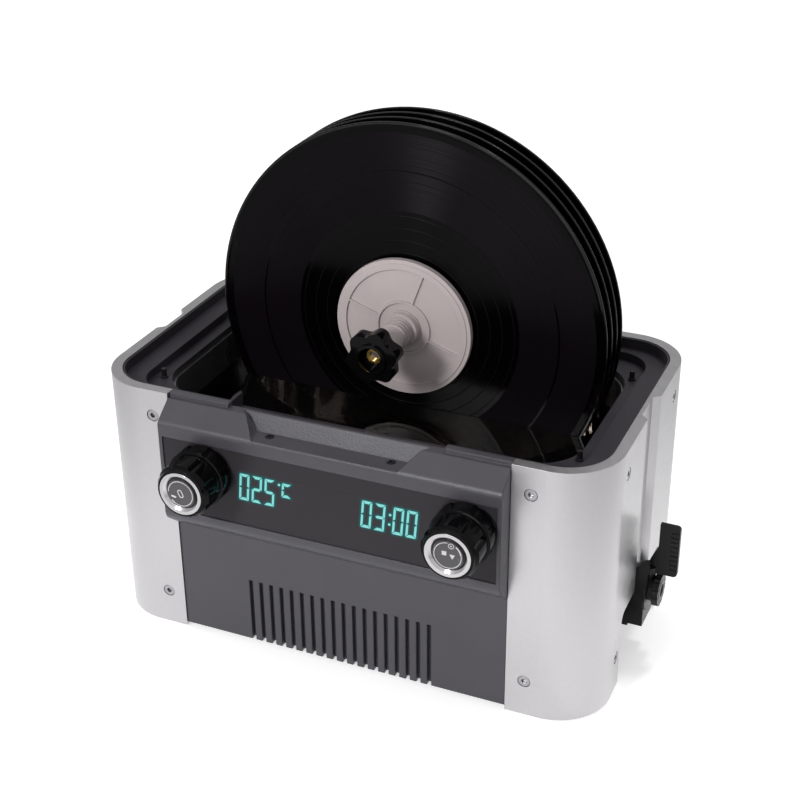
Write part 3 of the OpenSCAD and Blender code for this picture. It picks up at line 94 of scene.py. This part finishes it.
def linear(code):
    """A hex colour, as it is seen on a screen, turned to linear light."""
    parts = [int(code[i:i + 2], 16) / 255 for i in (1, 3, 5)]
    return (*[c / 12.92 if c <= 0.04045 else ((c + 0.055) / 1.055) ** 2.4 for c in parts], 1)


def add(tree, kind, inputs=None, **settings):
    """Adds a shader node, sets it up, and fills its inputs with values or with other nodes' outputs."""
    made = tree.nodes.new("ShaderNode" + kind)
    for name, value in settings.items():
        setattr(made, name, value)
    for name, value in (inputs or {}).items():
        if isinstance(value, bpy.types.NodeSocket):
            tree.links.new(value, made.inputs[name])
        else:
            made.inputs[name].default_value = value
    return made


def finish(name, dark, light, blotch=10, grain=0.8, depth=0.01, rough=(0.4, 0.5), edge=0.3, stretch=(1, 1, 1),
           crevice=0, **settings):
    """A surface that wanders between two shades over blotches, with a bumpy grain and eased edges, all in mm.
    Gaps narrower than crevice get painted shade, so they go dark."""
    made = bpy.data.materials.new(name)
    made.use_nodes = True
    tree = made.node_tree
    shader = tree.nodes["Principled BSDF"]
    for key, value in settings.items():
        shader.inputs[key.replace("_", " ")].default_value = value
    where = add(tree, "TexCoord").outputs["Object"]
    fields = []
    for size in (blotch, grain):
        scaled = add(tree, "VectorMath", {0: where, 1: tuple(1 / (MM * size * s) for s in stretch)},
                     operation="MULTIPLY")
        noise = add(tree, "TexNoise", {"Vector": scaled.outputs["Vector"], "Scale": 1.0, "Detail": 3.0})
        fields.append(noise.outputs["Fac"])
    tint = add(tree, "MixRGB", {"Fac": fields[0], "Color1": linear(dark), "Color2": linear(light)})
    gloss = add(tree, "MapRange", {"Value": fields[0], "From Min": noise_low, "From Max": noise_high,
                                   "To Min": rough[0], "To Max": rough[1]})
    eased = add(tree, "Bevel", {"Radius": edge * MM}, samples=edge_samples)
    bump = add(tree, "Bump", {"Height": fields[1], "Distance": depth * MM, "Normal": eased.outputs["Normal"]})
    # Painted shade: gaps that see little open sky are tinted dark.
    if crevice:
        sky = add(tree, "AmbientOcclusion", {"Distance": crevice * MM}, samples=crevice_samples)
        shade = add(tree, "MapRange", {"Value": sky.outputs["AO"], "From Min": crevice_shut,
                                       "From Max": crevice_open})
        tint = add(tree, "MixRGB", {"Fac": shade.outputs["Result"], "Color1": linear(painted_gap_shade),
                                    "Color2": tint.outputs["Color"]})
    tree.links.new(tint.outputs["Color"], shader.inputs["Base Color"])
    tree.links.new(gloss.outputs["Result"], shader.inputs["Roughness"])
    tree.links.new(bump.outputs["Normal"], shader.inputs["Normal"])
    return made


def dress(look, *nodes):
    """Gives a finish to CAD nodes."""
    for name in nodes:
        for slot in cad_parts[name].material_slots:
            slot.material = look


# Dark zinc: cloudy from the bath, in patches of about a centimetre, with a dull metal sheen.
dark_zinc = finish("dark_zinc_plated_steel", "#48494d", "#66676c", blotch=12, grain=1, depth=0.01,
                   rough=(0.34, 0.5), Metallic=0.9)
dress(dark_zinc, "base_plate", "corner_brackets")

# Feet and tank gasket
# Moulded black rubber: four feet pushed into the base plate, and a flat ring
# that the tank's flange is pressed against.
# Rubber is matt, with a faint bloom in patches of some millimetres.
rubber = finish("moulded_black_rubber", "#121213", "#202021", blotch=5, grain=0.6, depth=0.02,
                rough=(0.7, 0.85), Specular_IOR_Level=0.35)
dress(rubber, "feet", "tank_gasket")

# Tank
# One sheet of stainless steel, deep drawn with round corners and a flange, and
# left with the fine lines of the press on it.
# Drawn steel mirrors its surroundings softly, smeared along the drawing direction, under a
# thin dull skin that the cleaning liquid leaves.
drawn_steel = finish("drawn_stainless_steel", "#98959a", "#aca9ac", blotch=25, grain=1.2, depth=0.006,
                     rough=(0.2, 0.32), stretch=(1, 1, 5), Metallic=0.9)
dress(drawn_steel, "tank")

# Transducers and heater
# Four sandwiches under the tank, each an aluminium front mass, two ceramic rings
# and a steel back mass on a bolt, with a silicone heating pad between them.
# Turned aluminium: bright, with fine tool rings.
turned = finish("turned_aluminium", "#b9b9bb", "#cccccd", blotch=6, grain=0.7, depth=0.008,
                rough=(0.25, 0.38), stretch=(1, 1, 0.4), Metallic=1.0)
dress(turned, "transducer_front_masses", "encoders")
dress(dark_zinc, "transducer_back_masses")
# Fired ceramic: chalky tan with darker specks.
ceramic = finish("fired_ceramic", "#7d6b4c", "#a39069", blotch=1.5, grain=0.5, depth=0.02,
                 rough=(0.55, 0.7))
dress(ceramic, "piezo_rings")
# Silicone rubber on glass cloth: brick red, with the cloth's 1 mm weave showing through.
silicone = finish("silicone_rubber", "#8e2f1f", "#a8402c", blotch=9, grain=1, depth=0.05, rough=(0.5, 0.62))
dress(silicone, "heater_pad")

# Generator
# The ultrasonic driver: a circuit board on pillars with a finned heatsink and
# its wound and sleeved components, fixed to the base plate.
# Glass-fibre board: green lacquer over copper tracks, drawn about 4 mm apart so that they show.
board = finish("lacquered_circuit_board", "#0f3a20", "#17492a", blotch=20, grain=0.5, depth=0.01,
               rough=(0.3, 0.42))
tree = board.node_tree
shader = tree.nodes["Principled BSDF"]
track_mm = 4.0
track_share = 0.12
track_disorder = 0.35
where = add(tree, "TexCoord").outputs["Object"]
scaled = add(tree, "VectorMath", {0: where, 1: (1 / (track_mm * MM),) * 3}, operation="MULTIPLY")
cells = add(tree, "TexVoronoi", {"Vector": scaled.outputs["Vector"], "Scale": 1.0,
                                 "Randomness": track_disorder},
            feature="DISTANCE_TO_EDGE", distance="EUCLIDEAN")
track = add(tree, "Math", {0: cells.outputs["Distance"], 1: track_share}, operation="LESS_THAN")
base = shader.inputs["Base Color"].links[0].from_socket
tracked = add(tree, "MixRGB", {"Fac": track.outputs["Value"], "Color1": base, "Color2": linear("#2f6b3c")})
tree.links.new(tracked.outputs["Color"], shader.inputs["Base Color"])
dress(board, "generator_board", "display_board")
# Extruded aluminium: grey with straight drawing lines along the fins.
extruded = finish("extruded_aluminium", "#9c9c9f", "#b3b3b6", blotch=2, grain=0.8, depth=0.01,
                  rough=(0.35, 0.5), stretch=(1, 30, 1), Metallic=1.0)
dress(extruded, "generator_heatsink")
# Shrink sleeve: blue film with a soft shine, wrinkled every few millimetres.
sleeve_film = finish("shrink_sleeve", "#1c2c5e", "#2a3d78", blotch=6, grain=2, depth=0.04,
                     rough=(0.25, 0.4))
dress(sleeve_film, "generator_parts")

# Drain pipe
# A moulded elbow of natural polypropylene from the tank's drain hole to the valve.
# Milky and waxy, with light scattered just under the skin.
polypropylene = finish("natural_polypropylene", "#c6c5b9", "#d6d5ca", blotch=15, grain=1.5, depth=0.01,
                       rough=(0.35, 0.45), Subsurface_Weight=0.15, Subsurface_Scale=0.003)
dress(polypropylene, "drain_pipe")

# Side wraps
# Two thick aluminium shells, extruded upright with a channel in each side, cut
# to length, bead-blasted and clear anodised. They are screwed on from outside.
# Anodised aluminium gives an even silver satin. The blasting leaves pits of about
# 0.15 mm, drawn at 0.6 mm to show, and the gaps round the screws get painted shade.
anodised = finish("anodised_aluminium", "#aeacae", "#b6b4b6", blotch=4, grain=0.6, depth=0.012,
                  rough=(0.3, 0.38), edge=0.5, crevice=1.5, Metallic=0.95)
dress(anodised, "left_side_wrap", "right_side_wrap")

# Screws
# Button head stainless screws with a hexagon socket hold the wraps. The scoop's two
# screws and the four threaded pegs of the top frame are steel in black oxide.
# Polished steel heads catch small bright highlights.
# The gaps round the heads get the same painted shade.
stainless = finish("stainless_steel", "#8c8b8e", "#a5a4a7", blotch=3, grain=0.5, depth=0.004,
                   rough=(0.18, 0.3), edge=0.25, crevice=1.5, Metallic=1.0)
dress(stainless, "wrap_screws")
# Black oxide: nearly black, with an oily sheen.
black_oxide = finish("black_oxide_steel", "#1d1c1f", "#2b2a2d", blotch=2, grain=0.5, depth=0.01,
                     rough=(0.35, 0.5), edge=0.25, Metallic=0.7)
dress(black_oxide, "top_screws")

# Front, rear and recess panels, top frame and control head
# Dark grey ABS, injection moulded in tools with a spark-eroded texture, so they
# are matt with a fine sparkle where light grazes them.
# The texture's grain is about 0.2 mm, drawn at 1.2 mm so that it shows. The drive's
# housing is moulded in the same way.
abs_plastic = finish("textured_abs", "#3d3b40", "#454349", blotch=30, grain=1.2, depth=0.16,
                     rough=(0.33, 0.42), edge=1.4, Specular_IOR_Level=0.35)
dress(abs_plastic, "lower_front_panel", "control_head", "rear_panel", "recess_panel", "drive_housing",
      "drive_cover")
# The top frame is moulded from the same plastic, a shade darker.
frame_plastic = finish("textured_abs_darker", "#29262b", "#302d32", blotch=30, grain=1.2, depth=0.12,
                       rough=(0.4, 0.5), edge=0.6, Specular_IOR_Level=0.2)
dress(frame_plastic, "top_frame")

# Display window
# A strip of smoked acrylic let into the head, with a satin front that hides the
# board behind it until a figure is lit.
# Acrylic is smooth; the smoke makes it a warm charcoal.
window_shades = "#2b292c", "#322f33"
window_surface = {"blotch": 60, "grain": 3, "depth": 0.003, "rough": (0.3, 0.36), "edge": 0.2,
                  "Specular_IOR_Level": 0.12}
smoked = finish("smoked_acrylic", *window_shades, **window_surface)
dress(smoked, "display_window")

# Figures
# Seven-segment figures shine through the window: a temperature on the left and a
# time on the right, blue-green, with a halo that the acrylic spreads round them.
lit = finish("lit_segment", "#1f6f6c", "#2a7d79", blotch=1.2, grain=0.6, depth=0.001, rough=(0.4, 0.5),
             edge=0.2, Emission_Strength=0.6, Emission_Color=linear("#9ae6e0"))
dress(lit, "display_digits")

# The halo lies on the window as a film, in cells of 0.6 mm, and fades over 1.1 mm.
halo_mm = 1.1
halo_margin = 3.0
halo_cell = 0.6
halo_lift = 0.04
low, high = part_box("display_digits")
window_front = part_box("display_window")[0][1]
lit_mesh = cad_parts["display_digits"].data
lit_tree = BVHTree.FromPolygons([v.co for v in lit_mesh.vertices], [p.vertices for p in lit_mesh.polygons])
columns = math.ceil((high[0] - low[0] + 2 * halo_margin * MM) / (halo_cell * MM))
rows = math.ceil((high[2] - low[2] + 2 * halo_margin * MM) / (halo_cell * MM))
grid = [(low[0] + (i * halo_cell - halo_margin) * MM, window_front - halo_lift * MM,
         low[2] + (j * halo_cell - halo_margin) * MM) for j in range(rows + 1) for i in range(columns + 1)]
stride = columns + 1
starts = [j * stride + i for j in range(rows) for i in range(columns)]
film_mesh = bpy.data.meshes.new("display_halo")
film_mesh.from_pydata(grid, [], [(k, k + 1, k + 1 + stride, k + stride) for k in starts])
halo = place("display_halo", film_mesh)
strength = film_mesh.attributes.new("halo", "FLOAT", "POINT")
for i, corner in enumerate(grid):
    away = lit_tree.find_nearest(Vector(corner))[3] / MM
    strength.data[i].value = math.exp(-(away / halo_mm) ** 2)
thick = halo.modifiers.new("film", "SOLIDIFY")
thick.thickness = halo_lift * MM
thick.offset = -1
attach(halo, "root")
# Lit acrylic: the window's own charcoal, glowing teal close to each segment.
glowing = finish("smoked_acrylic_lit", *window_shades, **window_surface, Emission_Color=linear("#00474b"))
tree = glowing.node_tree
shader = tree.nodes["Principled BSDF"]
near = add(tree, "Attribute", attribute_name="halo").outputs["Fac"]
# Painted glow: close to each segment the film is tinted teal and shines.
glow_tint = add(tree, "MixRGB", {"Fac": near, "Color1": shader.inputs["Base Color"].links[0].from_socket,
                               "Color2": linear("#03393b")})
tree.links.new(glow_tint.outputs["Color"], shader.inputs["Base Color"])
tree.links.new(near, shader.inputs["Emission Strength"])
film_mesh.materials.append(glowing)

# Control knobs
# Each is a fluted grip of gloss black plastic, pushed on the steel shaft of an
# encoder, with a dished ring of turned aluminium round a dark face in its front.
# Gloss plastic: black with a clear mirror-like shine, and a mould's faint ripple.
gloss_black = finish("polished_black_plastic", "#050405", "#0a090b", blotch=8, grain=2, depth=0.003,
                     rough=(0.05, 0.1), edge=0.5, Specular_IOR_Level=0.09)
dress(gloss_black, "left_knob", "right_knob", "star_knob")
# A diamond-cut ring is almost white, with a mirror edge.
bright_ring = finish("diamond_cut_aluminium", "#aaa8aa", "#b8b6b8", blotch=3, grain=0.5, depth=0.002,
                     rough=(0.16, 0.24), edge=0.25, Metallic=1.0)
dress(bright_ring, "left_knob_ring", "right_knob_ring")
# The face is a smoked lens, grey and smooth.
face_lens = finish("smoked_lens", "#3b393d", "#434145", blotch=10, grain=2, depth=0.002, rough=(0.2, 0.28),
                   edge=0.2)
dress(face_lens, "left_knob_face", "right_knob_face")
# Ground steel, for the three shafts and the valve's ball: a smooth grey mirror with fine lines.
ground_steel = finish("ground_steel", "#a2a1a4", "#b6b5b8", blotch=4, grain=0.6, depth=0.004,
                      rough=(0.15, 0.25), Metallic=1.0)
dress(ground_steel, "left_shaft", "right_shaft", "spindle_shaft", "valve_ball")

# Silver ink: the printed marks, flat and pale, a tenth of a millimetre proud of the face.
ink = finish("silver_ink", "#b9b7ba", "#cfcdd0", blotch=1.5, grain=0.5, depth=0.004, rough=(0.4, 0.5),
             edge=0.05)
ink_mm = 0.1
line_mm = 0.45
fine_mm, bold_mm = 0.5, 0.9
rim_mm = 9.3
weld_mm = 0.01


def arc(x, z, radius, first=0, last=360, count=40):
    """Points on a circle round (x, z), in mm."""
    angles = [math.radians(first + (last - first) * i / count) for i in range(count + 1)]
    return [(x + radius * math.cos(a), z + radius * math.sin(a)) for a in angles]


def band(x, z, radius, first=0, last=360, width=line_mm):
    """The two edges of a printed line that follows a circle."""
    return arc(x, z, radius + width / 2, first, last), arc(x, z, radius - width / 2, first, last)


def pill(x, z, reach, radius, tilt=0):
    """A shape with round ends, upright or leaning to the left by a tilt in degrees."""
    dx, dz = -reach * math.sin(math.radians(tilt)), reach * math.cos(math.radians(tilt))
    top = arc(x + dx, z + dz, radius, tilt, 180 + tilt, 12)
    return top + arc(x - dx, z - dz, radius, 180 + tilt, 360 + tilt, 12)[:-1]


def closed(points):
    """An outline that comes back to its first point."""
    return points + points[:1]


def print_marks(name, node, body, lines, solids):
    """Prints lines, given by two edges, and solid shapes on the front of a knob's face."""
    low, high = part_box(node)
    middle = (low[0] + high[0]) / 2, (low[2] + high[2]) / 2
    shape = bmesh.new()

    def corners(points):
        return [shape.verts.new((middle[0] + x * MM, low[1], middle[1] + z * MM)) for x, z in points]

    for outer, inner in lines:
        a, b = corners(outer), corners(inner)
        for i in range(len(a) - 1):
            shape.faces.new((a[i], a[i + 1], b[i + 1], b[i]))
    for points in solids:
        shape.faces.new(corners(points))
    bmesh.ops.remove_doubles(shape, verts=shape.verts, dist=weld_mm * MM)
    bmesh.ops.recalc_face_normals(shape, faces=shape.faces)
    mesh = bpy.data.meshes.new(name)
    shape.to_mesh(mesh)
    piece = place(name, mesh)
    film = piece.modifiers.new("ink", "SOLIDIFY")
    film.thickness = 2 * ink_mm * MM
    film.offset = 0
    mesh.materials.append(ink)
    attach(piece, body)


# The left dial has a leaning ring in the middle, a short bar, and a scale that ends in a bold piece.
leaning_ring = closed(pill(0, 0, 1.4, 1.8, 22)), closed(pill(0, 0, 1.4, 1.1, 22))
short_bar = pill(-5.5, -3.1, 1.2, 0.75, 80)
left_scale = band(0, 0, rim_mm, -122, 180, fine_mm), band(0, 0, rim_mm, -140, -118, bold_mm)
print_marks("left_knob_marks", "left_knob_face", "left_dial", [leaning_ring, *left_scale], [short_bar])
# The right dial has a dotted circle, a square, a triangle, and the same scale turned round.
circle, dot = band(2.3, 7.4, 1.8), arc(2.3, 7.4, 0.6, count=12)[:-1]
square = [(-4.0, -0.2), (-0.8, -0.2), (-0.8, 2.8), (-4.0, 2.8)]
triangle = [(1.2, 1.2), (3.2, -2.2), (5.0, 1.2)]
right_scale = band(0, 0, rim_mm, 91, 375, fine_mm), band(0, 0, rim_mm, 15, 53, bold_mm)
print_marks("right_knob_marks", "right_knob_face", "right_dial", [circle, *right_scale],
            [dot, square, triangle])

# Spindle drive
# A gear motor with a brass pinion turns a large nylon gear on the spindle, in a
# moulded housing behind the records. The spindle runs in sintered bushes.
# Nylon: creamy and waxy.
nylon = finish("natural_nylon", "#d3cfc0", "#e0dccd", blotch=8, grain=1, depth=0.01, rough=(0.35, 0.45),
               Subsurface_Weight=0.1, Subsurface_Scale=0.002)
dress(nylon, "spindle_gear")
# Machined brass: warm yellow, with bright tool marks.
brass = finish("machined_brass", "#b8934c", "#d0ab62", blotch=3, grain=0.6, depth=0.006, rough=(0.16, 0.28),
               edge=0.2, Metallic=1.0)
dress(brass, "motor_pinion", "knob_insert")
# Sintered bronze: brown and porous.
bronze = finish("sintered_bronze", "#6f4a2c", "#8a6240", blotch=1.5, grain=0.4, depth=0.02,
                rough=(0.4, 0.6), Metallic=0.9)
dress(bronze, "shaft_bushes")
dress(dark_zinc, "gear_motor")

# Records
# Four pressed discs of black vinyl, 12 inches across, with a rounded bead at the
# rim, a grooved band in two tracks, and a smooth run-out round the label.
# Grooves are 0.1 mm apart, drawn as rings of about 1.5 mm. They smear every
# reflection outwards from the centre, while the run-out mirrors more sharply.
records = "record_1", "record_2", "record_3", "record_4"
vinyl = finish("pressed_vinyl", "#0b080b", "#110d11", blotch=50, grain=1.5, depth=0.003, rough=(0.2, 0.3),
               edge=0.4, Specular_IOR_Level=0.07, Anisotropic=1.0, Anisotropic_Rotation=0.25,
               Coat_Roughness=0.06)
tree = vinyl.node_tree
shader = tree.nodes["Principled BSDF"]
low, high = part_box("record_1")
axis_point = ((low[0] + high[0]) / 2, 0, (low[2] + high[2]) / 2)
groove_in, groove_out, track_gap, gap_mm = 86.5, 143.0, 116.0, 0.7
ring_mm, runout_mm, bead_mm = 1.5, 4.6, 149.0
spiral_mm = 0.3
smooth_rough, groove_rough, deepest_ring = 0.15, 0.62, 0.75
groove_depth = 0.02
bead_polish = 0.4
run_out = "#030203"
where = add(tree, "TexCoord").outputs["Object"]
from_axis = add(tree, "VectorMath", {0: where, 1: axis_point}, operation="SUBTRACT")
in_plane = add(tree, "VectorMath", {0: from_axis.outputs["Vector"], 1: (1 / MM, 0, 1 / MM)},
               operation="MULTIPLY")
radius = add(tree, "VectorMath", {0: in_plane.outputs["Vector"]}, operation="LENGTH").outputs["Value"]
rings = add(tree, "TexNoise", {"W": radius, "Scale": 1 / ring_mm, "Detail": 3.0}, noise_dimensions="1D")
middle, half = (groove_in + groove_out) / 2, (groove_out - groove_in) / 2
grooved = add(tree, "Math", {0: radius, 1: middle, 2: half}, operation="COMPARE")
gap = add(tree, "Math", {0: radius, 1: track_gap, 2: gap_mm}, operation="COMPARE")
cut = add(tree, "Math", {0: grooved.outputs["Value"], 1: gap.outputs["Value"]}, operation="SUBTRACT")
turns = add(tree, "Math", {0: radius, 1: runout_mm}, operation="PINGPONG")
line = add(tree, "Math", {0: turns.outputs["Value"], 1: spiral_mm}, operation="LESS_THAN")
inside = add(tree, "Math", {0: radius, 1: groove_in}, operation="LESS_THAN")
spiral = add(tree, "Math", {0: line.outputs["Value"], 1: inside.outputs["Value"]}, operation="MULTIPLY")
cut = add(tree, "Math", {0: cut.outputs["Value"], 1: spiral.outputs["Value"]}, operation="MAXIMUM")
ringed = add(tree, "Math", {0: cut.outputs["Value"], 1: rings.outputs["Fac"]}, operation="MULTIPLY")
gloss = add(tree, "MapRange", {"Value": ringed.outputs["Value"], "From Max": deepest_ring,
                               "To Min": smooth_rough, "To Max": groove_rough})
# Painted sheen: the grooved band and the run-out spiral are coloured lighter than the smooth run-out and
# track gap, for the light that grooves scatter.
scattered = shader.inputs["Base Color"].links[0].from_socket
shaded = add(tree, "MixRGB", {"Fac": cut.outputs["Value"], "Color1": linear(run_out), "Color2": scattered})
tree.links.new(shaded.outputs["Color"], shader.inputs["Base Color"])
bead = add(tree, "Math", {0: radius, 1: bead_mm}, operation="GREATER_THAN")
polish = add(tree, "Math", {0: bead.outputs["Value"], 1: bead_polish}, operation="MULTIPLY")
tree.links.new(polish.outputs["Value"], shader.inputs["Coat Weight"])
bump = add(tree, "Bump", {"Height": ringed.outputs["Value"], "Distance": groove_depth * MM,
                          "Normal": shader.inputs["Normal"].links[0].from_socket})
tree.links.new(gloss.outputs["Result"], shader.inputs["Roughness"])
tree.links.new(bump.outputs["Normal"], shader.inputs["Normal"])
round_axis = add(tree, "Tangent", direction_type="RADIAL", axis="Y")
tree.links.new(round_axis.outputs["Tangent"], shader.inputs["Tangent"])
dress(vinyl, *records)

# Spacers, label covers and clamp sleeve
# Pale grey ABS, injection moulded. Spacers and covers keep the labels dry, and
# the threaded sleeve presses the stack together.
# A fine satin, a little pink in the light.
pale_abs = finish("pale_grey_abs", "#b3a8a8", "#bdb2b2", blotch=25, grain=0.9, depth=0.012,
                  rough=(0.42, 0.52), edge=0.4)
dress(pale_abs, "record_spacers", "label_covers", "clamp_sleeve")

# Drain valve
# Black glass-filled nylon: the body in the recess, the lever on top and the ribbed
# nut, which holds a plated steel nozzle for the hose.
# Glass-filled nylon is black with a grainy satin.
filled_nylon = finish("glass_filled_nylon", "#0e0d0f", "#171618", blotch=6, grain=0.8, depth=0.025,
                      rough=(0.32, 0.45), edge=0.4, Specular_IOR_Level=0.2)
dress(filled_nylon, "valve_body", "drain_lever", "outlet_nut")
dress(dark_zinc, "outlet_nozzle")

# Mains inlet, power switch and fan
# Bought-in parts that clip into the rear panel, all in the same black nylon but
# for the switch's red rocker.
dress(filled_nylon, "mains_inlet", "switch_bezel", "fan_frame", "fan_rotor")
# Moulded red plastic: an even deep red with a gloss.
red_plastic = finish("moulded_red_plastic", "#8c1414", "#a11b1b", blotch=5, grain=1, depth=0.006,
                     rough=(0.2, 0.3))
dress(red_plastic, "power_rocker")

# Cleaning liquid
# Water with a wetting agent fills the tank to a hand's width over its floor, and
# the four records dip into it.
level_mm = 154.0
clear_mm = 0.25
steel_mm = 1.2
inner_w, inner_d, inner_r = 309.4, 156.0, 33.0
disc_sides = 180
low, high = (Vector(c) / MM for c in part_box("tank"))
middle = (low + high) / 2
bottom_mm = low.z + steel_mm + clear_mm


def rounded(x, y, wide, deep, radius, count=10):
    """The outline of a rectangle with round corners, in mm."""
    turn = []
    dx, dy = wide / 2 - radius, deep / 2 - radius
    for k, (sx, sy) in enumerate(((1, 1), (-1, 1), (-1, -1), (1, -1))):
        turn += arc(x + sx * dx, y + sy * dy, radius, 90 * k, 90 * k + 90, count)
    return turn


def extrude(name, outline, low_z, high_z):
    """A closed upright solid on an outline, in mm."""
    shape = bmesh.new()
    rings = [[shape.verts.new((x * MM, y * MM, z * MM)) for x, y in outline] for z in (low_z, high_z)]
    shape.faces.new(rings[0][::-1])
    shape.faces.new(rings[1])
    for i in range(len(outline)):
        j = (i + 1) % len(outline)
        shape.faces.new((rings[0][i], rings[0][j], rings[1][j], rings[1][i]))
    bmesh.ops.remove_doubles(shape, verts=shape.verts, dist=0.1 * weld_mm * MM)
    mesh = bpy.data.meshes.new(name)
    shape.to_mesh(mesh)
    return place(name, mesh)


outline = rounded(middle.x, middle.y, inner_w - 2 * clear_mm, inner_d - 2 * clear_mm, inner_r - clear_mm)
liquid = extrude("cleaning_liquid", outline, bottom_mm, level_mm)
for name in records:
    low, high = (Vector(c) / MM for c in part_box(name))
    bpy.ops.mesh.primitive_cylinder_add(
        vertices=disc_sides, radius=((high.x - low.x) / 2 + clear_mm) * MM,
        depth=(high.y - low.y + 2 * clear_mm) * MM, location=(low + high) / 2 * MM,
        rotation=(math.pi / 2, 0, 0))
    disc = bpy.context.object
    slit = liquid.modifiers.new(name, "BOOLEAN")
    slit.operation = "DIFFERENCE"
    slit.object = disc
    bpy.context.view_layer.objects.active = liquid
    bpy.ops.object.modifier_apply(modifier=slit.name)
    bpy.data.objects.remove(disc)
# Water: clear but dark over the steel, and mirror-smooth with slow ripples of about 3 cm.
water = finish("wetting_solution", "#6d6660", "#756e69", blotch=80, grain=30, depth=0.25,
               rough=(0.01, 0.03), edge=0.3, IOR=1.33, Transmission_Weight=1.0)
liquid.data.materials.clear()
liquid.data.materials.append(water)
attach(liquid, "root")

# Floor and studio
# A plain white table top, in a white room with a soft ceiling and three lamps.
floor_m = 12
bpy.ops.mesh.primitive_plane_add(size=floor_m)
floor = bpy.context.object
floor.name = "floor"
# Paper white, seen as white by the camera. Metal mirrors a painted pool of light on it round the machine.
camera_glow = 0.52
pool_near, pool_far = 0.28, 0.62
pool_bright, pool_dim = 0.75, 0.05
white = finish("white_paper", "#e9e9ea", "#eeeeee", blotch=200, grain=2, depth=0.01, rough=(0.85, 0.95))
tree = white.node_tree
shader = tree.nodes["Principled BSDF"]
shader.inputs["Emission Color"].default_value = (1, 1, 1, 1)
path = add(tree, "LightPath")
away = add(tree, "VectorMath", {0: add(tree, "TexCoord").outputs["Object"]}, operation="LENGTH")
# Painted light: a glow on the floor that only reflections see, brightest near the machine.
pool = add(tree, "MapRange", {"Value": away.outputs["Value"], "From Min": pool_near, "From Max": pool_far,
                              "To Min": pool_bright, "To Max": pool_dim})
pool = add(tree, "Math", {0: pool.outputs["Result"], 1: path.outputs["Is Glossy Ray"]}, operation="MULTIPLY")
seen = add(tree, "Math", {0: path.outputs["Is Camera Ray"], 1: camera_glow, 2: pool.outputs["Value"]},
           operation="MULTIPLY_ADD")
tree.links.new(seen.outputs["Value"], shader.inputs["Emission Strength"])
floor.data.materials.append(white)

# The room is white to the camera, grey to matt surfaces, and brighter in front than behind to gloss.
room_grey = (0.33, 0.33, 0.33, 1)
room_front = (0.3, -0.9, 0.3)
room_reach = 0.9
room_dim, room_bright = 0.35, 1.0
world = bpy.data.worlds.new("studio")
bpy.context.scene.world = world
world.use_nodes = True
tree = world.node_tree
tree.nodes.clear()
path = add(tree, "LightPath")
facing = add(tree, "VectorMath", {0: add(tree, "TexCoord").outputs["Generated"], 1: room_front},
             operation="DOT_PRODUCT")
sweep = add(tree, "MapRange", {"Value": facing.outputs["Value"], "From Min": -room_reach,
                               "From Max": room_reach, "To Min": room_dim, "To Max": room_bright})
seen = add(tree, "Math", {0: path.outputs["Is Camera Ray"], 1: path.outputs["Is Transmission Ray"]},
           operation="MAXIMUM")
shade = add(tree, "MixRGB", {"Fac": path.outputs["Is Glossy Ray"], "Color1": room_grey,
                             "Color2": sweep.outputs["Result"]})
shade = add(tree, "MixRGB", {"Fac": seen.outputs["Value"], "Color1": shade.outputs["Color"],
                             "Color2": (1, 1, 1, 1)})
glow = add(tree, "Background", {"Color": shade.outputs["Color"], "Strength": 1.0})
add(tree, "OutputWorld", {"Surface": glow.outputs["Background"]})


def softbox(name, stand, size, watts):
    """A square area lamp that faces the machine's middle."""
    lamp = bpy.data.lights.new(name, "AREA")
    lamp.size = size
    lamp.energy = watts
    holder = place(name, lamp)
    holder.location = stand
    holder.rotation_euler = (machine_middle - Vector(stand)).to_track_quat("-Z", "Y").to_euler()


# The ceiling glows softly from above. The lamps are a key high on the left, a broad one
# low in front, and a small one over the back.
machine_middle = Vector((0, 0, 0.15))
ceiling = bpy.data.lights.new("ceiling_light", "SUN")
ceiling.energy = 0.65
ceiling.angle = math.radians(70)
place("ceiling_light", ceiling).rotation_euler = (math.radians(-12), math.radians(-8), 0)
softbox("key_light", (-0.46, -1.6, 1.1), 0.35, 19)
softbox("front_light", (0.1, -1.9, 0.15), 0.9, 7)
softbox("top_light", (0.35, 0.5, 1.5), 0.2, 5)

bpy.context.scene.view_settings.view_transform = "Standard"
